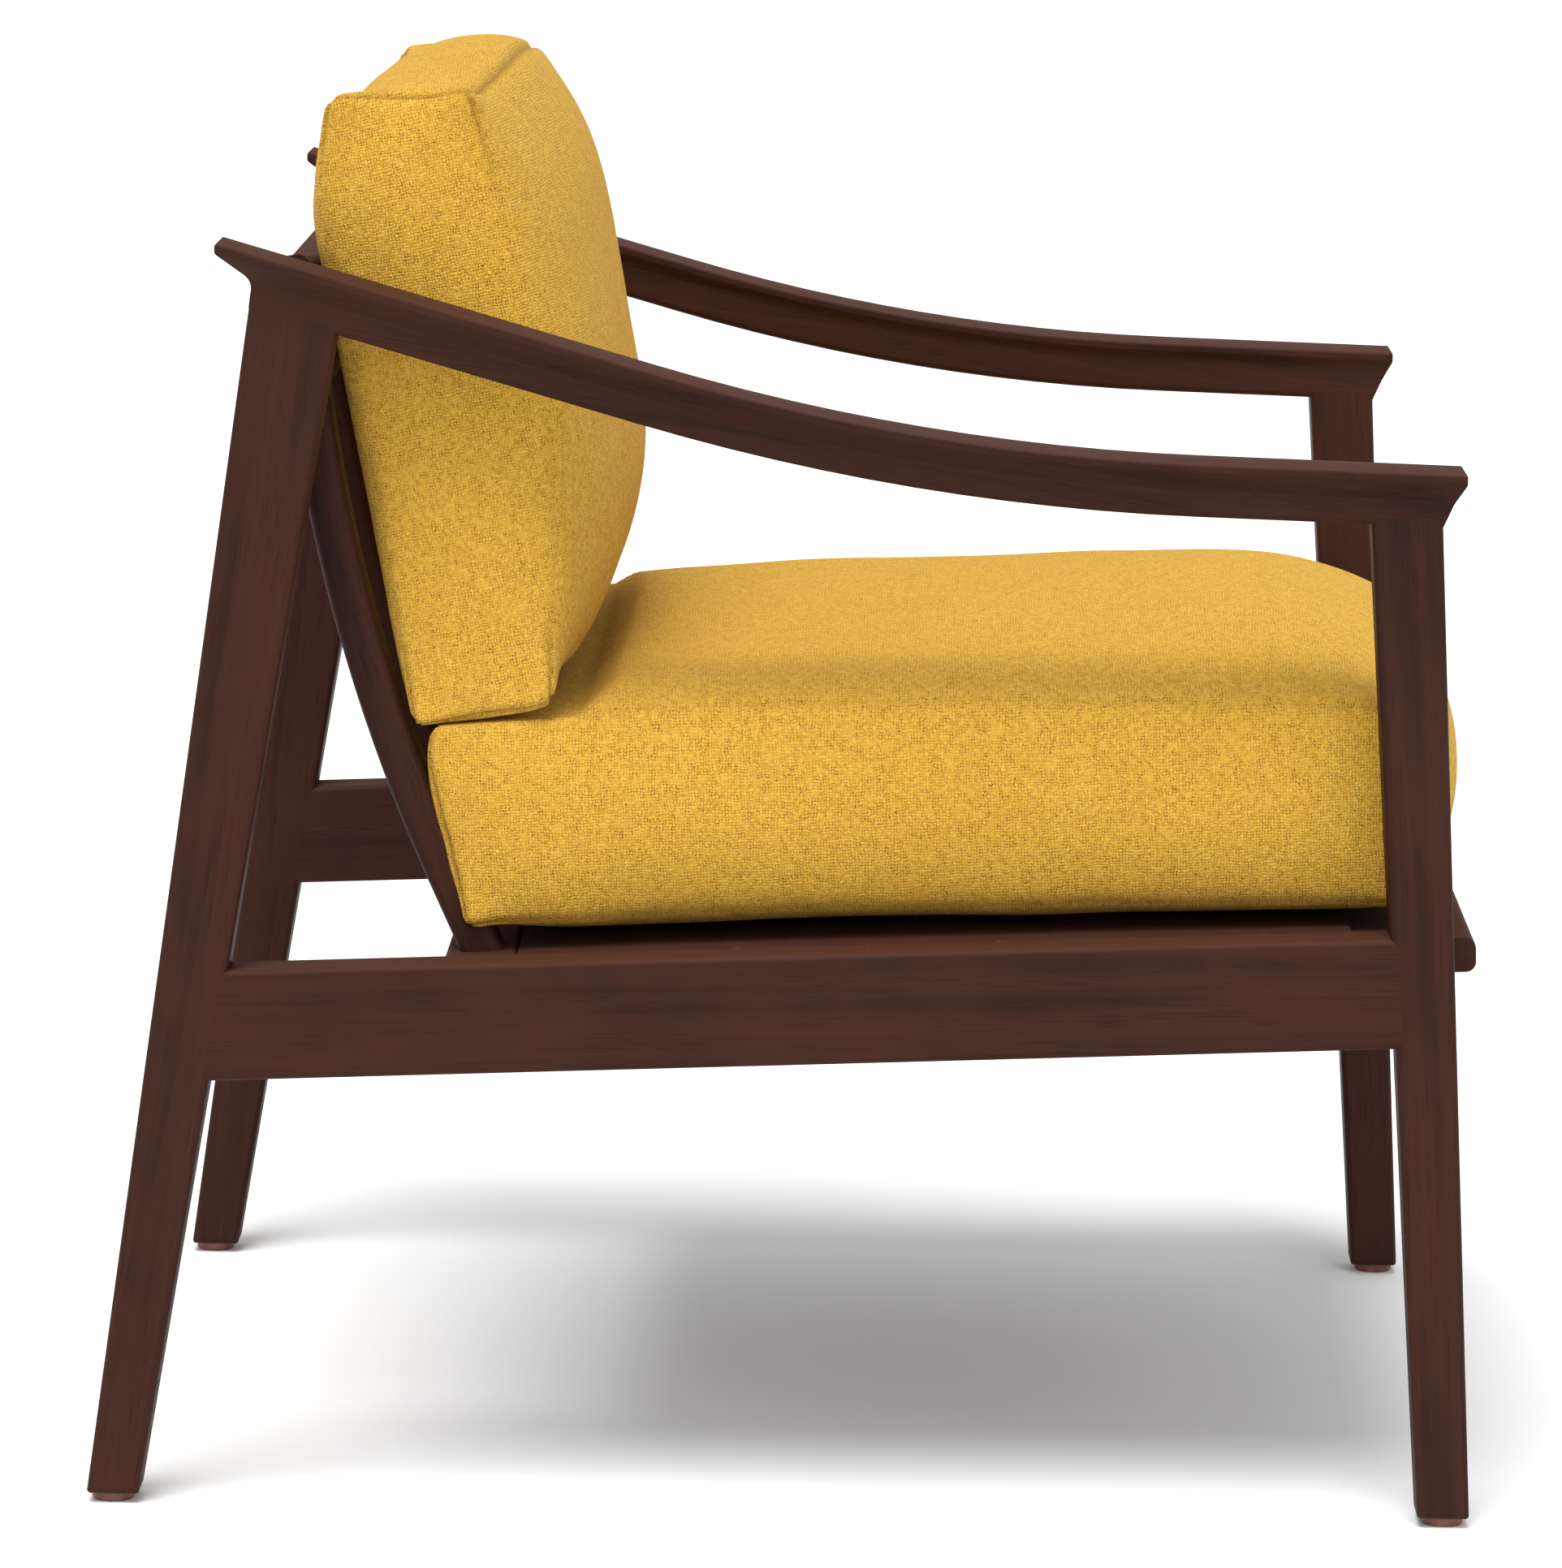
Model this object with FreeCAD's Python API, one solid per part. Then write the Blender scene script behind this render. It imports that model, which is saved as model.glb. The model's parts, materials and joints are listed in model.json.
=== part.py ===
import FreeCAD, Part
import math
import os

# Lounge armchair with two open side frames, a ladder back, a slatted deck and two loose cushions.
# Millimetres. +Z is up, the sitter faces -Y, and the sitter's left is +X.
# The origin is on the floor, under the middle of the chair.

Vector = FreeCAD.Vector

# ---- Driving dimensions -------------------------------------------------------------------------

# Overall
overall_width = 720.0           # outside of one arm to outside of the other
foot_depth = 800.0              # front of the front feet to the back of the rear feet
side_thickness = 34.0           # thickness of legs and side rails, across the chair
edge_round = 4.0                # rounding along the edges of legs, rails and boards
glue_gap = 0.1                  # clearance round a tenon, and past the end of a dowel

# Legs: width at the floor, and how much each edge leans per unit of height
foot_width = 30.0
foot_round = 2.0
front_leg_front_lean = 0.055
front_leg_back_lean = 0.073
rear_leg_back_lean = 0.132
rear_leg_front_lean = 0.1635

# Arms
arm_front_height = 613.0        # top of the arm at its front tip
arm_rear_height = 732.0         # top of the arm at its rear tip
arm_front_pitch = 1.4           # degrees
arm_rear_pitch = 15.6           # degrees
arm_bend_radius = 1840.0
arm_thickness = 31.5
arm_front_inset = 20.0          # front tip of the arm behind the front of the feet
arm_rear_inset = 73.0           # rear tip of the arm ahead of the back of the feet
cap_overhang_out = 12.0         # arm top past the outer face of the side frame
cap_overhang_in = 3.0           # arm top past the inner face of the side frame
cap_edge = 4.5                  # height of the thin edge of the arm top
cap_crown = 1.5                 # rise of the arm top across its width
cap_crown_radius = 330.0
cap_corner = 1.8                # rounding of the thin edge
cap_slope = 5.4                 # height of the slope below the inner edge
crease_depth = 17.0             # top of the arm down to the crease in its outer face
crease_round = 5.0
flare_reach = 6.0               # how far the front end of the arm stands out at the crease
flare_height = 12.0             # height of the flare under that crease
flare_round = 10.0
nose_radius = 3.0               # rounding of the arm's tips
spare = 20.0                    # extra length on a blank before it is cut to its outline

# Side rails and deck
rail_height = 64.0
rail_pitch = 2.63               # degrees, rising to the front
rail_top_height = 329.0         # top of the side rail above the origin
deck_drop = 3.0                 # deck below the top of the side rails
rear_rail_depth = 42.0
rear_rail_height = 30.0
rear_rail_middle = 177.0        # middle of the rear rail behind the origin, along the deck
front_board_depth = 70.0
front_board_thickness = 20.0
front_board_drop = 3.0          # top of the front board below the deck
front_board_proud = 14.0        # front board past the front edge of the front legs
front_board_round = 6.0

# Deck slats and the bearers under their ends
deck_panel_thickness = 4.0      # thin panel on the slats, which the cushion rests on
slat_count = 6
slat_width = 50.0
slat_thickness = 12.0
slat_end_gap = 2.0
slat_side_gap = 0.5             # on each side of a slat, where it sits in its notch
slat_round = 3.0
bearer_width = 20.0
bearer_height = 24.0            # below the slats
bearer_end_gap = 0.5

# Back: curved uprights between the rear seat rail and the crest rail
upright_count = 5
upright_width = 34.0
upright_thickness = 23.0
upright_round = 6.0
upright_side_gap = 24.0         # outer uprights to the side frames
back_high_lean = 8.0            # degrees from upright, at the crest rail
back_bend_height = 178.0        # bend of the back above the top of the rear rail
back_bend_radius = 1000.0
tenon_thickness = 10.0
tenon_shoulder = 3.0            # wood left beside a tenon, across the chair
tenon_length = 18.0
crest_height = 78.0
crest_thickness = 26.0
crest_dip = 11.0                # how far the middle of the crest rail lies below its ends
crest_ramp = 110.0              # length of the slope down from each end
crest_ramp_round = 900.0
crest_round = 7.0               # along the top
crest_low_round = 1.5           # along the bottom
crest_setback = 37.0            # middle of the crest rail ahead of the arm's rear tip
crest_tenon_height = 26.0

# Dowels and screws
arm_dowel_diameter = 10.0
arm_dowel_length = 30.0
arm_dowel_spacing = 18.0
rail_dowel_diameter = 10.0
rail_dowel_length = 48.0
rail_dowel_heights = (-38.0, -58.0)     # below the top of the side rail
cross_dowel_diameter = 8.0
cross_dowel_length = 44.0
cross_dowel_inset = 20.0                # depth of a cross dowel in the side frame
rear_dowel_spacing = 20.0
board_dowel_spacing = 15.0
screw_diameter = 4.0
screw_head_diameter = 8.0
screw_head_depth = 3.0
screw_tip_diameter = 0.8
socket_width = 1.0
socket_length = 4.4
socket_depth = 1.2
slat_screw_length = 32.0
bearer_screw_length = 38.0
bearer_screw_count = 4

# Glides under the legs
glide_diameter = 24.0
glide_height = 5.5
glide_round = 1.2
glide_nail_diameter = 3.0
glide_nail_length = 18.0
glide_nail_head_diameter = 7.0
glide_nail_head_height = 1.5

# Cushions
cushion_width = 596.0
cushion_gap = 0.5               # clearance between a cushion and the wood or the other cushion
back_gap = 1.5                  # clearance of the back cushion from the back
seat_cushion_rear = 134.0       # thickness at its rear end
seat_cushion_front = 150.0      # thickness at its front end
seat_cushion_reach = 388.0      # front of the seat cushion ahead of the origin
seat_cushion_round = 26.0
back_cushion_top = 828.0        # height above the floor
back_cushion_head = 88.0        # thickness at the top
back_cushion_middle = 142.0     # thickness at its fullest
back_cushion_base = 84.0        # thickness at the bottom
back_cushion_round = 26.0
back_cushion_fullest = 0.36     # height of its fullest place, as a share of its height
back_cushion_top_setback = 10.0 # top rear edge ahead of the crest rail
back_cushion_top_slope = 8.0    # top rear edge below the top front edge
back_cushion_shoulder_round = 60.0
back_cushion_belly_round = 90.0
cushion_corner_share = 0.8      # rounding of the side outline, as a share of the rim's rounding
cover_thickness = 1.5
wrap_thickness = 14.0

# ---- Values that follow -------------------------------------------------------------------------

half_depth = foot_depth / 2
outer_face = overall_width / 2 - cap_overhang_out
inner_face = outer_face - side_thickness
frame_middle = (outer_face + inner_face) / 2
front_tip = -half_depth + arm_front_inset
rear_tip = half_depth - arm_rear_inset
rail_slope = math.tan(math.radians(rail_pitch))
deck_height = rail_top_height - deck_drop
clear_width = 2 * inner_face


# ---- Small helpers ------------------------------------------------------------------------------

def corner_arc(before, corner, after, radius):
    """Start, middle and end of the tangent arc that rounds one corner."""
    back = (before - corner).normalize()
    ahead = (after - corner).normalize()
    half_angle = back.getAngle(ahead) / 2
    reach = radius / math.tan(half_angle)
    room = 0.48 * min((before - corner).Length, (after - corner).Length)
    if reach > room:
        radius = radius * room / reach
        reach = room
    middle = (back + ahead).normalize() * (radius / math.sin(half_angle) - radius)
    return corner + back * reach, corner + middle, corner + ahead * reach


def rounded_edges(points, closed):
    """Straight and round edges through points given as (vector, radius)."""
    count = len(points)
    stops = []
    for index, (corner, radius) in enumerate(points):
        at_end = not closed and index in (0, count - 1)
        if radius == 0 or at_end:
            stops.append((corner, None, corner))
        else:
            before = points[index - 1][0]
            after = points[(index + 1) % count][0]
            stops.append(corner_arc(before, corner, after, radius))
    edges = []
    for index, (start, middle, end) in enumerate(stops):
        if middle is not None:
            edges.append(Part.Arc(start, middle, end).toShape())
        if closed or index < count - 1:
            following = stops[(index + 1) % count][0]
            if end.distanceToPoint(following) > 1e-6:
                edges.append(Part.LineSegment(end, following).toShape())
    return edges


def closed_face(points):
    return Part.Face(Part.Wire(rounded_edges(points, True)))


def side_face(points, x=0.0):
    """Face in a side view, from (y, z, radius) points."""
    return closed_face([(Vector(x, y, z), radius) for y, z, radius in points])


def round_rims(solid, axis, low, high, radius):
    """Round every edge that lies in the planes low and high across the given axis."""
    rims = []
    for edge in solid.Edges:
        box = edge.BoundBox
        near, far = (box.XMin, box.XMax) if axis == "x" else (box.YMin, box.YMax)
        if far - near < 1e-4 and min(abs(near - low), abs(near - high)) < 1e-4:
            rims.append(edge)
    return solid.makeFillet(radius, rims)


def side_board(points, x_low, x_high, radius):
    """Board with its outline in the side view and its rims rounded."""
    solid = side_face(points, x_low).extrude(Vector(x_high - x_low, 0, 0))
    return round_rims(solid, "x", x_low, x_high, radius)


def block(x_low, x_high, y_low, y_high, z_low, z_high):
    return Part.makeBox(x_high - x_low, y_high - y_low, z_high - z_low, Vector(x_low, y_low, z_low))


def rod(diameter, length, start, direction):
    return Part.makeCylinder(diameter / 2, length, start, direction)


def on_deck(shape):
    """Move a shape from deck coordinates, where z is 0 on the deck's top, to its place."""
    placed = shape.copy()
    placed.rotate(Vector(0, 0, 0), Vector(1, 0, 0), -rail_pitch)
    placed.translate(Vector(0, 0, deck_height))
    return placed


def deck_point(x, y, z):
    turn = math.radians(rail_pitch)
    return Vector(x, y * math.cos(turn) + z * math.sin(turn),
                  deck_height - y * math.sin(turn) + z * math.cos(turn))


def mirrored(shape):
    return shape.mirror(Vector(0, 0, 0), Vector(1, 0, 0))


def both_sides(shape):
    return [shape, mirrored(shape)]


def cut_all(shape, tools):
    return shape.cut(Part.makeCompound(tools)) if tools else shape


# ---- Lines of the side frame --------------------------------------------------------------------

def front_leg_front(z):
    return -half_depth + front_leg_front_lean * z


def front_leg_back(z):
    return -half_depth + foot_width + front_leg_back_lean * z


def rear_leg_back(z):
    return half_depth - rear_leg_back_lean * z


def rear_leg_front(z):
    return half_depth - foot_width - rear_leg_front_lean * z


def arm_line(drop, reach):
    """Front end, bend and rear end of the arm's top line, moved down square to itself."""
    front_turn = math.radians(arm_front_pitch)
    rear_turn = math.radians(arm_rear_pitch)
    front_way = Vector(0, math.cos(front_turn), math.sin(front_turn))
    rear_way = Vector(0, math.cos(rear_turn), math.sin(rear_turn))
    front_end = Vector(0, front_tip + drop * front_way.z, arm_front_height - drop * front_way.y)
    rear_end = Vector(0, rear_tip + drop * rear_way.z, arm_rear_height - drop * rear_way.y)
    rise = (rear_end.z - front_end.z) - (rear_end.y - front_end.y) * rear_way.z / rear_way.y
    run = rise / (front_way.z / front_way.y - rear_way.z / rear_way.y)
    bend = Vector(0, front_end.y + run, front_end.z + run * front_way.z / front_way.y)
    return front_end - front_way * reach, bend, rear_end + rear_way * reach


def under_arm(drop):
    """Everything below the arm's top line moved down by drop, across one side frame."""
    front_end, bend, rear_end = arm_line(drop, half_depth)
    corners = [(front_end, 0), (bend, arm_bend_radius + drop), (rear_end, 0),
               (Vector(0, rear_end.y, -1), 0), (Vector(0, front_end.y, -1), 0)]
    region = closed_face(corners).extrude(Vector(overall_width, 0, 0))
    region.translate(Vector(-overall_width, 0, 0))
    return region


# ---- Side frame, right-hand side ----------------------------------------------------------------

def arm_section():
    """Outline across the arm: x is from the middle of the chair, n is down from the top line."""
    cap_out = -overall_width / 2
    cap_in = -inner_face + cap_overhang_in
    cap_middle = (cap_out + cap_in) / 2
    return [(cap_out, 0.0, cap_corner), (cap_middle, -cap_crown, cap_crown_radius),
            (cap_in, 0.0, cap_corner), (cap_in, cap_edge, cap_corner),
            (-inner_face, cap_edge + cap_slope, 2 * edge_round),
            (-inner_face, arm_thickness, edge_round), (-outer_face, arm_thickness, edge_round),
            (-outer_face, crease_depth, crease_round), (cap_out, cap_edge, cap_corner)]


def make_arm():
    front_end, bend, rear_end = arm_line(0.0, spare)
    way = (bend - front_end).normalize()
    down = Vector(0, way.z, -way.y)
    section = [(front_end + Vector(x, 0, 0) + down * n, radius) for x, n, radius in arm_section()]
    path = Part.Wire(rounded_edges([(front_end, 0), (bend, arm_bend_radius), (rear_end, 0)], False))
    section_wire = Part.Wire(rounded_edges(section, True))
    swept = path.makePipeShell([section_wire], True, False)
    front_top, bend_top, rear_top = arm_line(-cap_crown, 0.0)
    below = arm_front_height - arm_thickness - spare
    front_crease = arm_front_height - crease_depth - cap_crown
    front_neck = front_crease - flare_height
    rear_crease = arm_rear_height - crease_depth - cap_edge
    tip_height = 2 * nose_radius + cap_crown
    ends = [(front_top.y, front_top.z, nose_radius), (bend_top.y, bend_top.z, arm_bend_radius),
            (rear_top.y, rear_top.z, nose_radius),
            (rear_top.y, rear_top.z - tip_height, nose_radius),
            (rear_leg_back(rear_crease), rear_crease, flare_round),
            (rear_leg_back(below), below, 0), (front_leg_front(below), below, 0),
            (front_leg_front(front_neck), front_neck, flare_round),
            (front_leg_front(front_crease) - flare_reach, front_crease, cap_corner),
            (front_top.y, front_top.z - tip_height, nose_radius)]
    outline = side_face(ends, -overall_width / 2 - spare).extrude(Vector(overall_width / 2, 0, 0))
    return swept.common(outline)


def make_leg(front_edge, back_edge):
    """Tapered leg that runs up into a shallow housing in the arm."""
    top = arm_rear_height
    corners = [(front_edge(glide_height), glide_height, foot_round), (front_edge(top), top, 0),
               (back_edge(top), top, 0), (back_edge(glide_height), glide_height, foot_round)]
    board = side_board(corners, -outer_face, -inner_face, edge_round)
    return board.common(under_arm(arm_thickness - edge_round))


def make_side_rail():
    """Rail between the legs, housed into each by the rounding of its edges."""
    high = arm_rear_height
    low = deck_drop - rail_height
    corners = [(-foot_depth, low, 0), (foot_depth, low, 0), (foot_depth, deck_drop, 0),
               (-foot_depth, deck_drop, 0)]
    long_rail = on_deck(side_board(corners, -outer_face, -inner_face, edge_round))
    between = [(front_leg_back(0) - edge_round, 0, 0),
               (rear_leg_front(0) + edge_round, 0, 0),
               (rear_leg_front(high) + edge_round, high, 0),
               (front_leg_back(high) - edge_round, high, 0)]
    gap = side_face(between, -overall_width / 2).extrude(Vector(overall_width / 2, 0, 0))
    return long_rail.common(gap)


def leg_dowels(front_edge, back_edge):
    """Two dowels from the top of a leg up into the arm."""
    bite = arm_dowel_length / 2
    foot = Vector(-frame_middle, (front_edge(0) + back_edge(0)) / 2, 0)
    head = Vector(-frame_middle, (front_edge(arm_front_height) + back_edge(arm_front_height)) / 2,
                  arm_front_height)
    way = (head - foot).normalize()
    axis = Part.LineSegment(foot, head + way * half_depth).toShape()
    shoulder = max(vertex.Z for vertex in axis.common(under_arm(arm_thickness - edge_round)).Vertexes)
    middle = foot + way * ((shoulder - foot.z) / way.z)
    across = Vector(0, way.z, -way.y) * (arm_dowel_spacing / 2)
    return [(middle + across * side - way * bite, way) for side in (-1, 1)]


def side_rail_dowels():
    """Start points and directions of the dowels that join the side rail to its legs."""
    bite = rail_dowel_length / 2
    places = []
    for depth in rail_dowel_heights:
        level = rail_top_height + depth
        for edge, sign in ((front_leg_back, -1), (rear_leg_front, 1)):
            end = edge(level) + sign * edge_round
            level_there = level - rail_slope * end
            start = Vector(-frame_middle, end - bite, level_there + rail_slope * bite)
            places.append((start, Vector(0, 1, -rail_slope).normalize()))
    return places


# ---- Pieces across the chair --------------------------------------------------------------------

def make_rear_rail():
    low = rear_rail_middle - rear_rail_depth / 2
    bar = block(-inner_face, inner_face, low, low + rear_rail_depth, -rear_rail_height, 0)
    long_edges = [edge for edge in bar.Edges if edge.BoundBox.XLength > clear_width / 2]
    return on_deck(bar.makeFillet(edge_round, long_edges))


def board_front():
    """Front of the front board, along the deck."""
    return front_leg_front(deck_height) - front_board_proud


def make_front_board():
    top = -front_board_drop
    front = board_front()
    bar = block(-inner_face, inner_face, front, front + front_board_depth,
                top - front_board_thickness, top)
    long_edges = [edge for edge in bar.Edges if edge.BoundBox.XLength > clear_width / 2]
    nose = [edge for edge in long_edges if edge.BoundBox.YMax < front + 1]
    return on_deck(bar.makeFillet(front_board_round, nose))


def cross_dowels(middle_y, middle_z, spacing):
    """Dowels along X from a cross piece into the right-hand side frame."""
    start_x = -inner_face - cross_dowel_inset
    places = []
    for side in (-0.5, 0.5):
        start = deck_point(start_x, middle_y + side * spacing, middle_z)
        places.append((start, Vector(1, 0, 0)))
    return places


def slat_places():
    """Middle of each deck slat along the deck, with even gaps."""
    rear = rear_rail_middle - rear_rail_depth / 2
    front = board_front() + front_board_depth
    gap = (rear - front - slat_count * slat_width) / (slat_count + 1)
    return [front + gap + slat_width / 2 + index * (slat_width + gap) for index in range(slat_count)]


def screw_blank(length):
    """Plain countersunk screw, or its hole, pointing down from z = 0."""
    head = Part.makeCone(screw_head_diameter / 2, screw_diameter / 2, screw_head_depth,
                         Vector(0, 0, 0), Vector(0, 0, -1))
    shank_length = length - screw_head_depth - screw_diameter
    shank = rod(screw_diameter, shank_length, Vector(0, 0, -screw_head_depth), Vector(0, 0, -1))
    tip = Part.makeCone(screw_diameter / 2, screw_tip_diameter / 2, screw_diameter,
                        Vector(0, 0, -screw_head_depth - shank_length), Vector(0, 0, -1))
    return head.fuse([shank, tip]).removeSplitter()


def cross_socket():
    """Recess for the driver in a screw's head."""
    wide = socket_length / 2
    thin = socket_width / 2
    one_way = block(-thin, thin, -wide, wide, -socket_depth, socket_depth)
    return one_way.fuse(block(-wide, wide, -thin, thin, -socket_depth, socket_depth))


def slat_screw_holes(slat_middles):
    """Screw holes through the deck panel and the slats' right-hand ends into the bearer."""
    holes = []
    for middle in slat_middles:
        hole = screw_blank(slat_screw_length)
        hole.translate(Vector(-inner_face + bearer_width / 2, middle, 0))
        holes.append(on_deck(hole))
    return holes


def slat_screws(slat_middles):
    screws = []
    for hole, middle in zip(slat_screw_holes(slat_middles), slat_middles):
        socket = cross_socket()
        socket.translate(Vector(-inner_face + bearer_width / 2, middle, 0))
        screws.append(hole.cut(on_deck(socket)))
    return screws


def bearer_screws(with_socket):
    """Screws, or their holes, through the right-hand bearer into its side rail."""
    front = board_front() + front_board_depth
    rear = rear_rail_middle - rear_rail_depth / 2
    step = (rear - front) / bearer_screw_count
    screws = []
    for index in range(bearer_screw_count):
        screw = screw_blank(bearer_screw_length)
        if with_socket:
            screw = screw.cut(cross_socket())
        screw.rotate(Vector(0, 0, 0), Vector(0, 1, 0), 90)
        screw.translate(Vector(-inner_face + bearer_width, front + (index + 0.5) * step,
                               -deck_panel_thickness - slat_thickness - 0.6 * bearer_height))
        screws.append(on_deck(screw))
    return screws


def deck_run():
    """Front and rear ends of the bearers and of the deck panel."""
    front = board_front() + front_board_depth + bearer_end_gap
    rear = rear_rail_middle - rear_rail_depth / 2 - bearer_end_gap
    return front, rear


def make_bearer(slat_middles):
    """Right-hand bearer, notched so that the slats lie flush with its top."""
    front, rear = deck_run()
    inner = -inner_face + bearer_width
    top = -deck_panel_thickness
    notch_floor = top - slat_thickness
    reach = slat_width / 2 + slat_side_gap
    notches = [block(-inner_face - spare, inner + spare, middle - reach, middle + reach,
                     notch_floor, spare) for middle in slat_middles]
    bearer = block(-inner_face, inner, front, rear, notch_floor - bearer_height, top)
    return on_deck(cut_all(bearer, notches))


def make_slat(middle):
    half = inner_face - slat_end_gap
    front = middle - slat_width / 2
    rear = middle + slat_width / 2
    top = -deck_panel_thickness
    corners = [(front, top - slat_thickness, 0), (rear, top - slat_thickness, 0),
               (rear, top, slat_round), (front, top, slat_round)]
    return on_deck(side_face(corners, -half).extrude(Vector(2 * half, 0, 0)))


def make_deck_panel():
    half = inner_face - slat_end_gap
    front, rear = deck_run()
    return on_deck(block(-half, half, front, rear, -deck_panel_thickness, 0))


# ---- Back ---------------------------------------------------------------------------------------

def back_line(shift):
    """Foot, bend and head of the back's middle line, moved to the rear by shift.

    The line runs past the rear rail and the crest rail, so that both ends can be cut.
    """
    high_turn = math.radians(back_high_lean)
    high_way = Vector(0, math.sin(high_turn), math.cos(high_turn))
    foot = deck_point(0, rear_rail_middle, 0)
    crest = crest_point()
    bend_level = foot.z + back_bend_height
    bend = crest - high_way * ((crest.z - bend_level) / high_way.z)
    low_way = (bend - foot).normalize()
    low_out = Vector(0, low_way.z, -low_way.y)
    high_out = Vector(0, high_way.z, -high_way.y)
    square = (low_out + high_out).normalize()
    shifted_bend = bend + square * (shift / square.dot(high_out))
    foot_end = foot + low_out * shift - low_way * back_bend_height
    head_end = shifted_bend + high_way * crest.z
    return foot_end, shifted_bend, head_end


def front_of_back(level):
    """How far back the front of the uprights is at one height."""
    front = Part.Wire(rounded_edges(back_outline(upright_thickness, 0)[:3], False))
    ray = Part.LineSegment(Vector(0, 0, level), Vector(0, foot_depth, level)).toShape()
    return front.distToShape(ray)[1][0][0].y


def crest_point():
    """Middle of the crest rail's top at its ends."""
    y = rear_tip - crest_setback
    rear_end = arm_line(0.0, 0.0)[-1]
    return Vector(0, y, rear_end.z - (rear_end.y - y) * math.tan(math.radians(arm_rear_pitch)))


def crest_place(shape):
    """Lean a shape modelled upright, with z = 0 at the crest rail's end tops, and move it there."""
    placed = shape.copy()
    placed.rotate(Vector(0, 0, 0), Vector(1, 0, 0), -back_high_lean)
    placed.translate(crest_point())
    return placed


def make_crest():
    half = inner_face
    end = half + spare
    end_top = crest_dip * spare / crest_ramp
    corners = [(-end, -crest_height, 0), (end, -crest_height, 0), (end, end_top, 0),
               (half - crest_ramp, -crest_dip, crest_ramp_round),
               (-half + crest_ramp, -crest_dip, crest_ramp_round), (-end, end_top, 0)]
    y_low = -crest_thickness / 2
    face = closed_face([(Vector(x, y_low, z), radius) for x, z, radius in corners])
    board = face.extrude(Vector(0, crest_thickness, 0))
    bottoms = [edge for edge in board.Edges
               if edge.BoundBox.ZMax < -crest_height + 1e-4 and edge.BoundBox.XLength > half]
    board = board.makeFillet(crest_low_round, bottoms)
    tops = [edge for edge in board.Edges
            if edge.BoundBox.ZMin > -2 * crest_dip and edge.BoundBox.YLength < 1e-4]
    board = board.makeFillet(crest_round, tops)
    board = board.common(block(-half, half, -crest_thickness, crest_thickness, -2 * crest_height,
                               crest_height))
    tenon = crest_tenon(0.0)
    return crest_place(board.fuse([tenon, mirrored(tenon)]))


def crest_tenon(clearance):
    """Tenon at the right-hand end, in the crest rail's own coordinates."""
    low = -crest_height + edge_round
    half = tenon_thickness / 2 + clearance
    return block(-inner_face - tenon_length - clearance, -inner_face, -half, half,
                 low - clearance, low + crest_tenon_height + clearance)


def back_outline(thickness, x):
    """Side outline of an upright, run past both its ends."""
    front = back_line(-thickness / 2)
    rear = back_line(thickness / 2)
    corners = [(front[0], 0), (front[1], back_bend_radius - thickness / 2), (front[2], 0),
               (rear[2], 0), (rear[1], back_bend_radius + thickness / 2), (rear[0], 0)]
    return [(point + Vector(x, 0, 0), turn) for point, turn in corners]


def upright_blank(width, thickness, x_middle, radius):
    x_low = x_middle - width / 2
    face = closed_face(back_outline(thickness, x_low))
    blank = face.extrude(Vector(width, 0, 0))
    return round_rims(blank, "x", x_low, x_low + width, radius) if radius else blank


def back_limits(extra):
    """Space between the rear rail and the crest rail, reaching into both by extra."""
    above_rail = on_deck(block(-inner_face, inner_face, 0, half_depth, -extra, arm_rear_height))
    under_crest = crest_place(block(-inner_face, inner_face, -half_depth, half_depth,
                                    -arm_rear_height, -crest_height + extra))
    return above_rail.common(under_crest)


def upright_tenons(x_middle, clearance):
    width = upright_width - 2 * (tenon_shoulder + edge_round) + 2 * clearance
    blank = upright_blank(width, tenon_thickness + 2 * clearance, x_middle, 0)
    return blank.common(back_limits(tenon_length + clearance))


def make_upright(x_middle):
    """Upright, housed in both rails as deep as the rounding of the crest rail's bottom edges."""
    body = upright_blank(upright_width, upright_thickness, x_middle, upright_round)
    return body.common(back_limits(crest_low_round)).fuse(upright_tenons(x_middle, 0.0))


def upright_middles():
    reach = inner_face - upright_side_gap - upright_width / 2
    step = 2 * reach / (upright_count - 1)
    return [-reach + index * step for index in range(upright_count)]


# ---- Glides -------------------------------------------------------------------------------------

def glide_spot(front_edge, back_edge):
    return Vector(-frame_middle, (front_edge(0) + back_edge(0)) / 2, 0)


def make_glide(spot):
    """Disc with a sunk seat for the head of its nail."""
    disc = rod(glide_diameter, glide_height, spot, Vector(0, 0, 1))
    rim = [edge for edge in disc.Edges if edge.Closed and edge.BoundBox.ZMax < glide_height / 2]
    return disc.makeFillet(glide_round, rim)


def make_glide_nail(spot):
    start = spot + Vector(0, 0, glide_height / 2)
    head = rod(glide_nail_head_diameter, glide_nail_head_height, start, Vector(0, 0, 1))
    shank = rod(glide_nail_diameter, glide_nail_length, start, Vector(0, 0, 1))
    return head.fuse(shank).removeSplitter()


# ---- Cushions -----------------------------------------------------------------------------------

def inset_prism(corners, inset, round_size):
    """Prism across the chair with its side outline moved in by inset, and its rims rounded."""
    wire = Part.Wire(rounded_edges([(Vector(0, y, z), radius) for y, z, radius in corners], True))
    if inset:
        wire = wire.makeOffset2D(-inset, 2)
    half = cushion_width / 2 - inset
    solid = Part.Face(wire).extrude(Vector(2 * half, 0, 0))
    solid.translate(Vector(-half, 0, 0))
    return round_rims(solid, "x", -half, half, round_size - inset)


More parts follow.
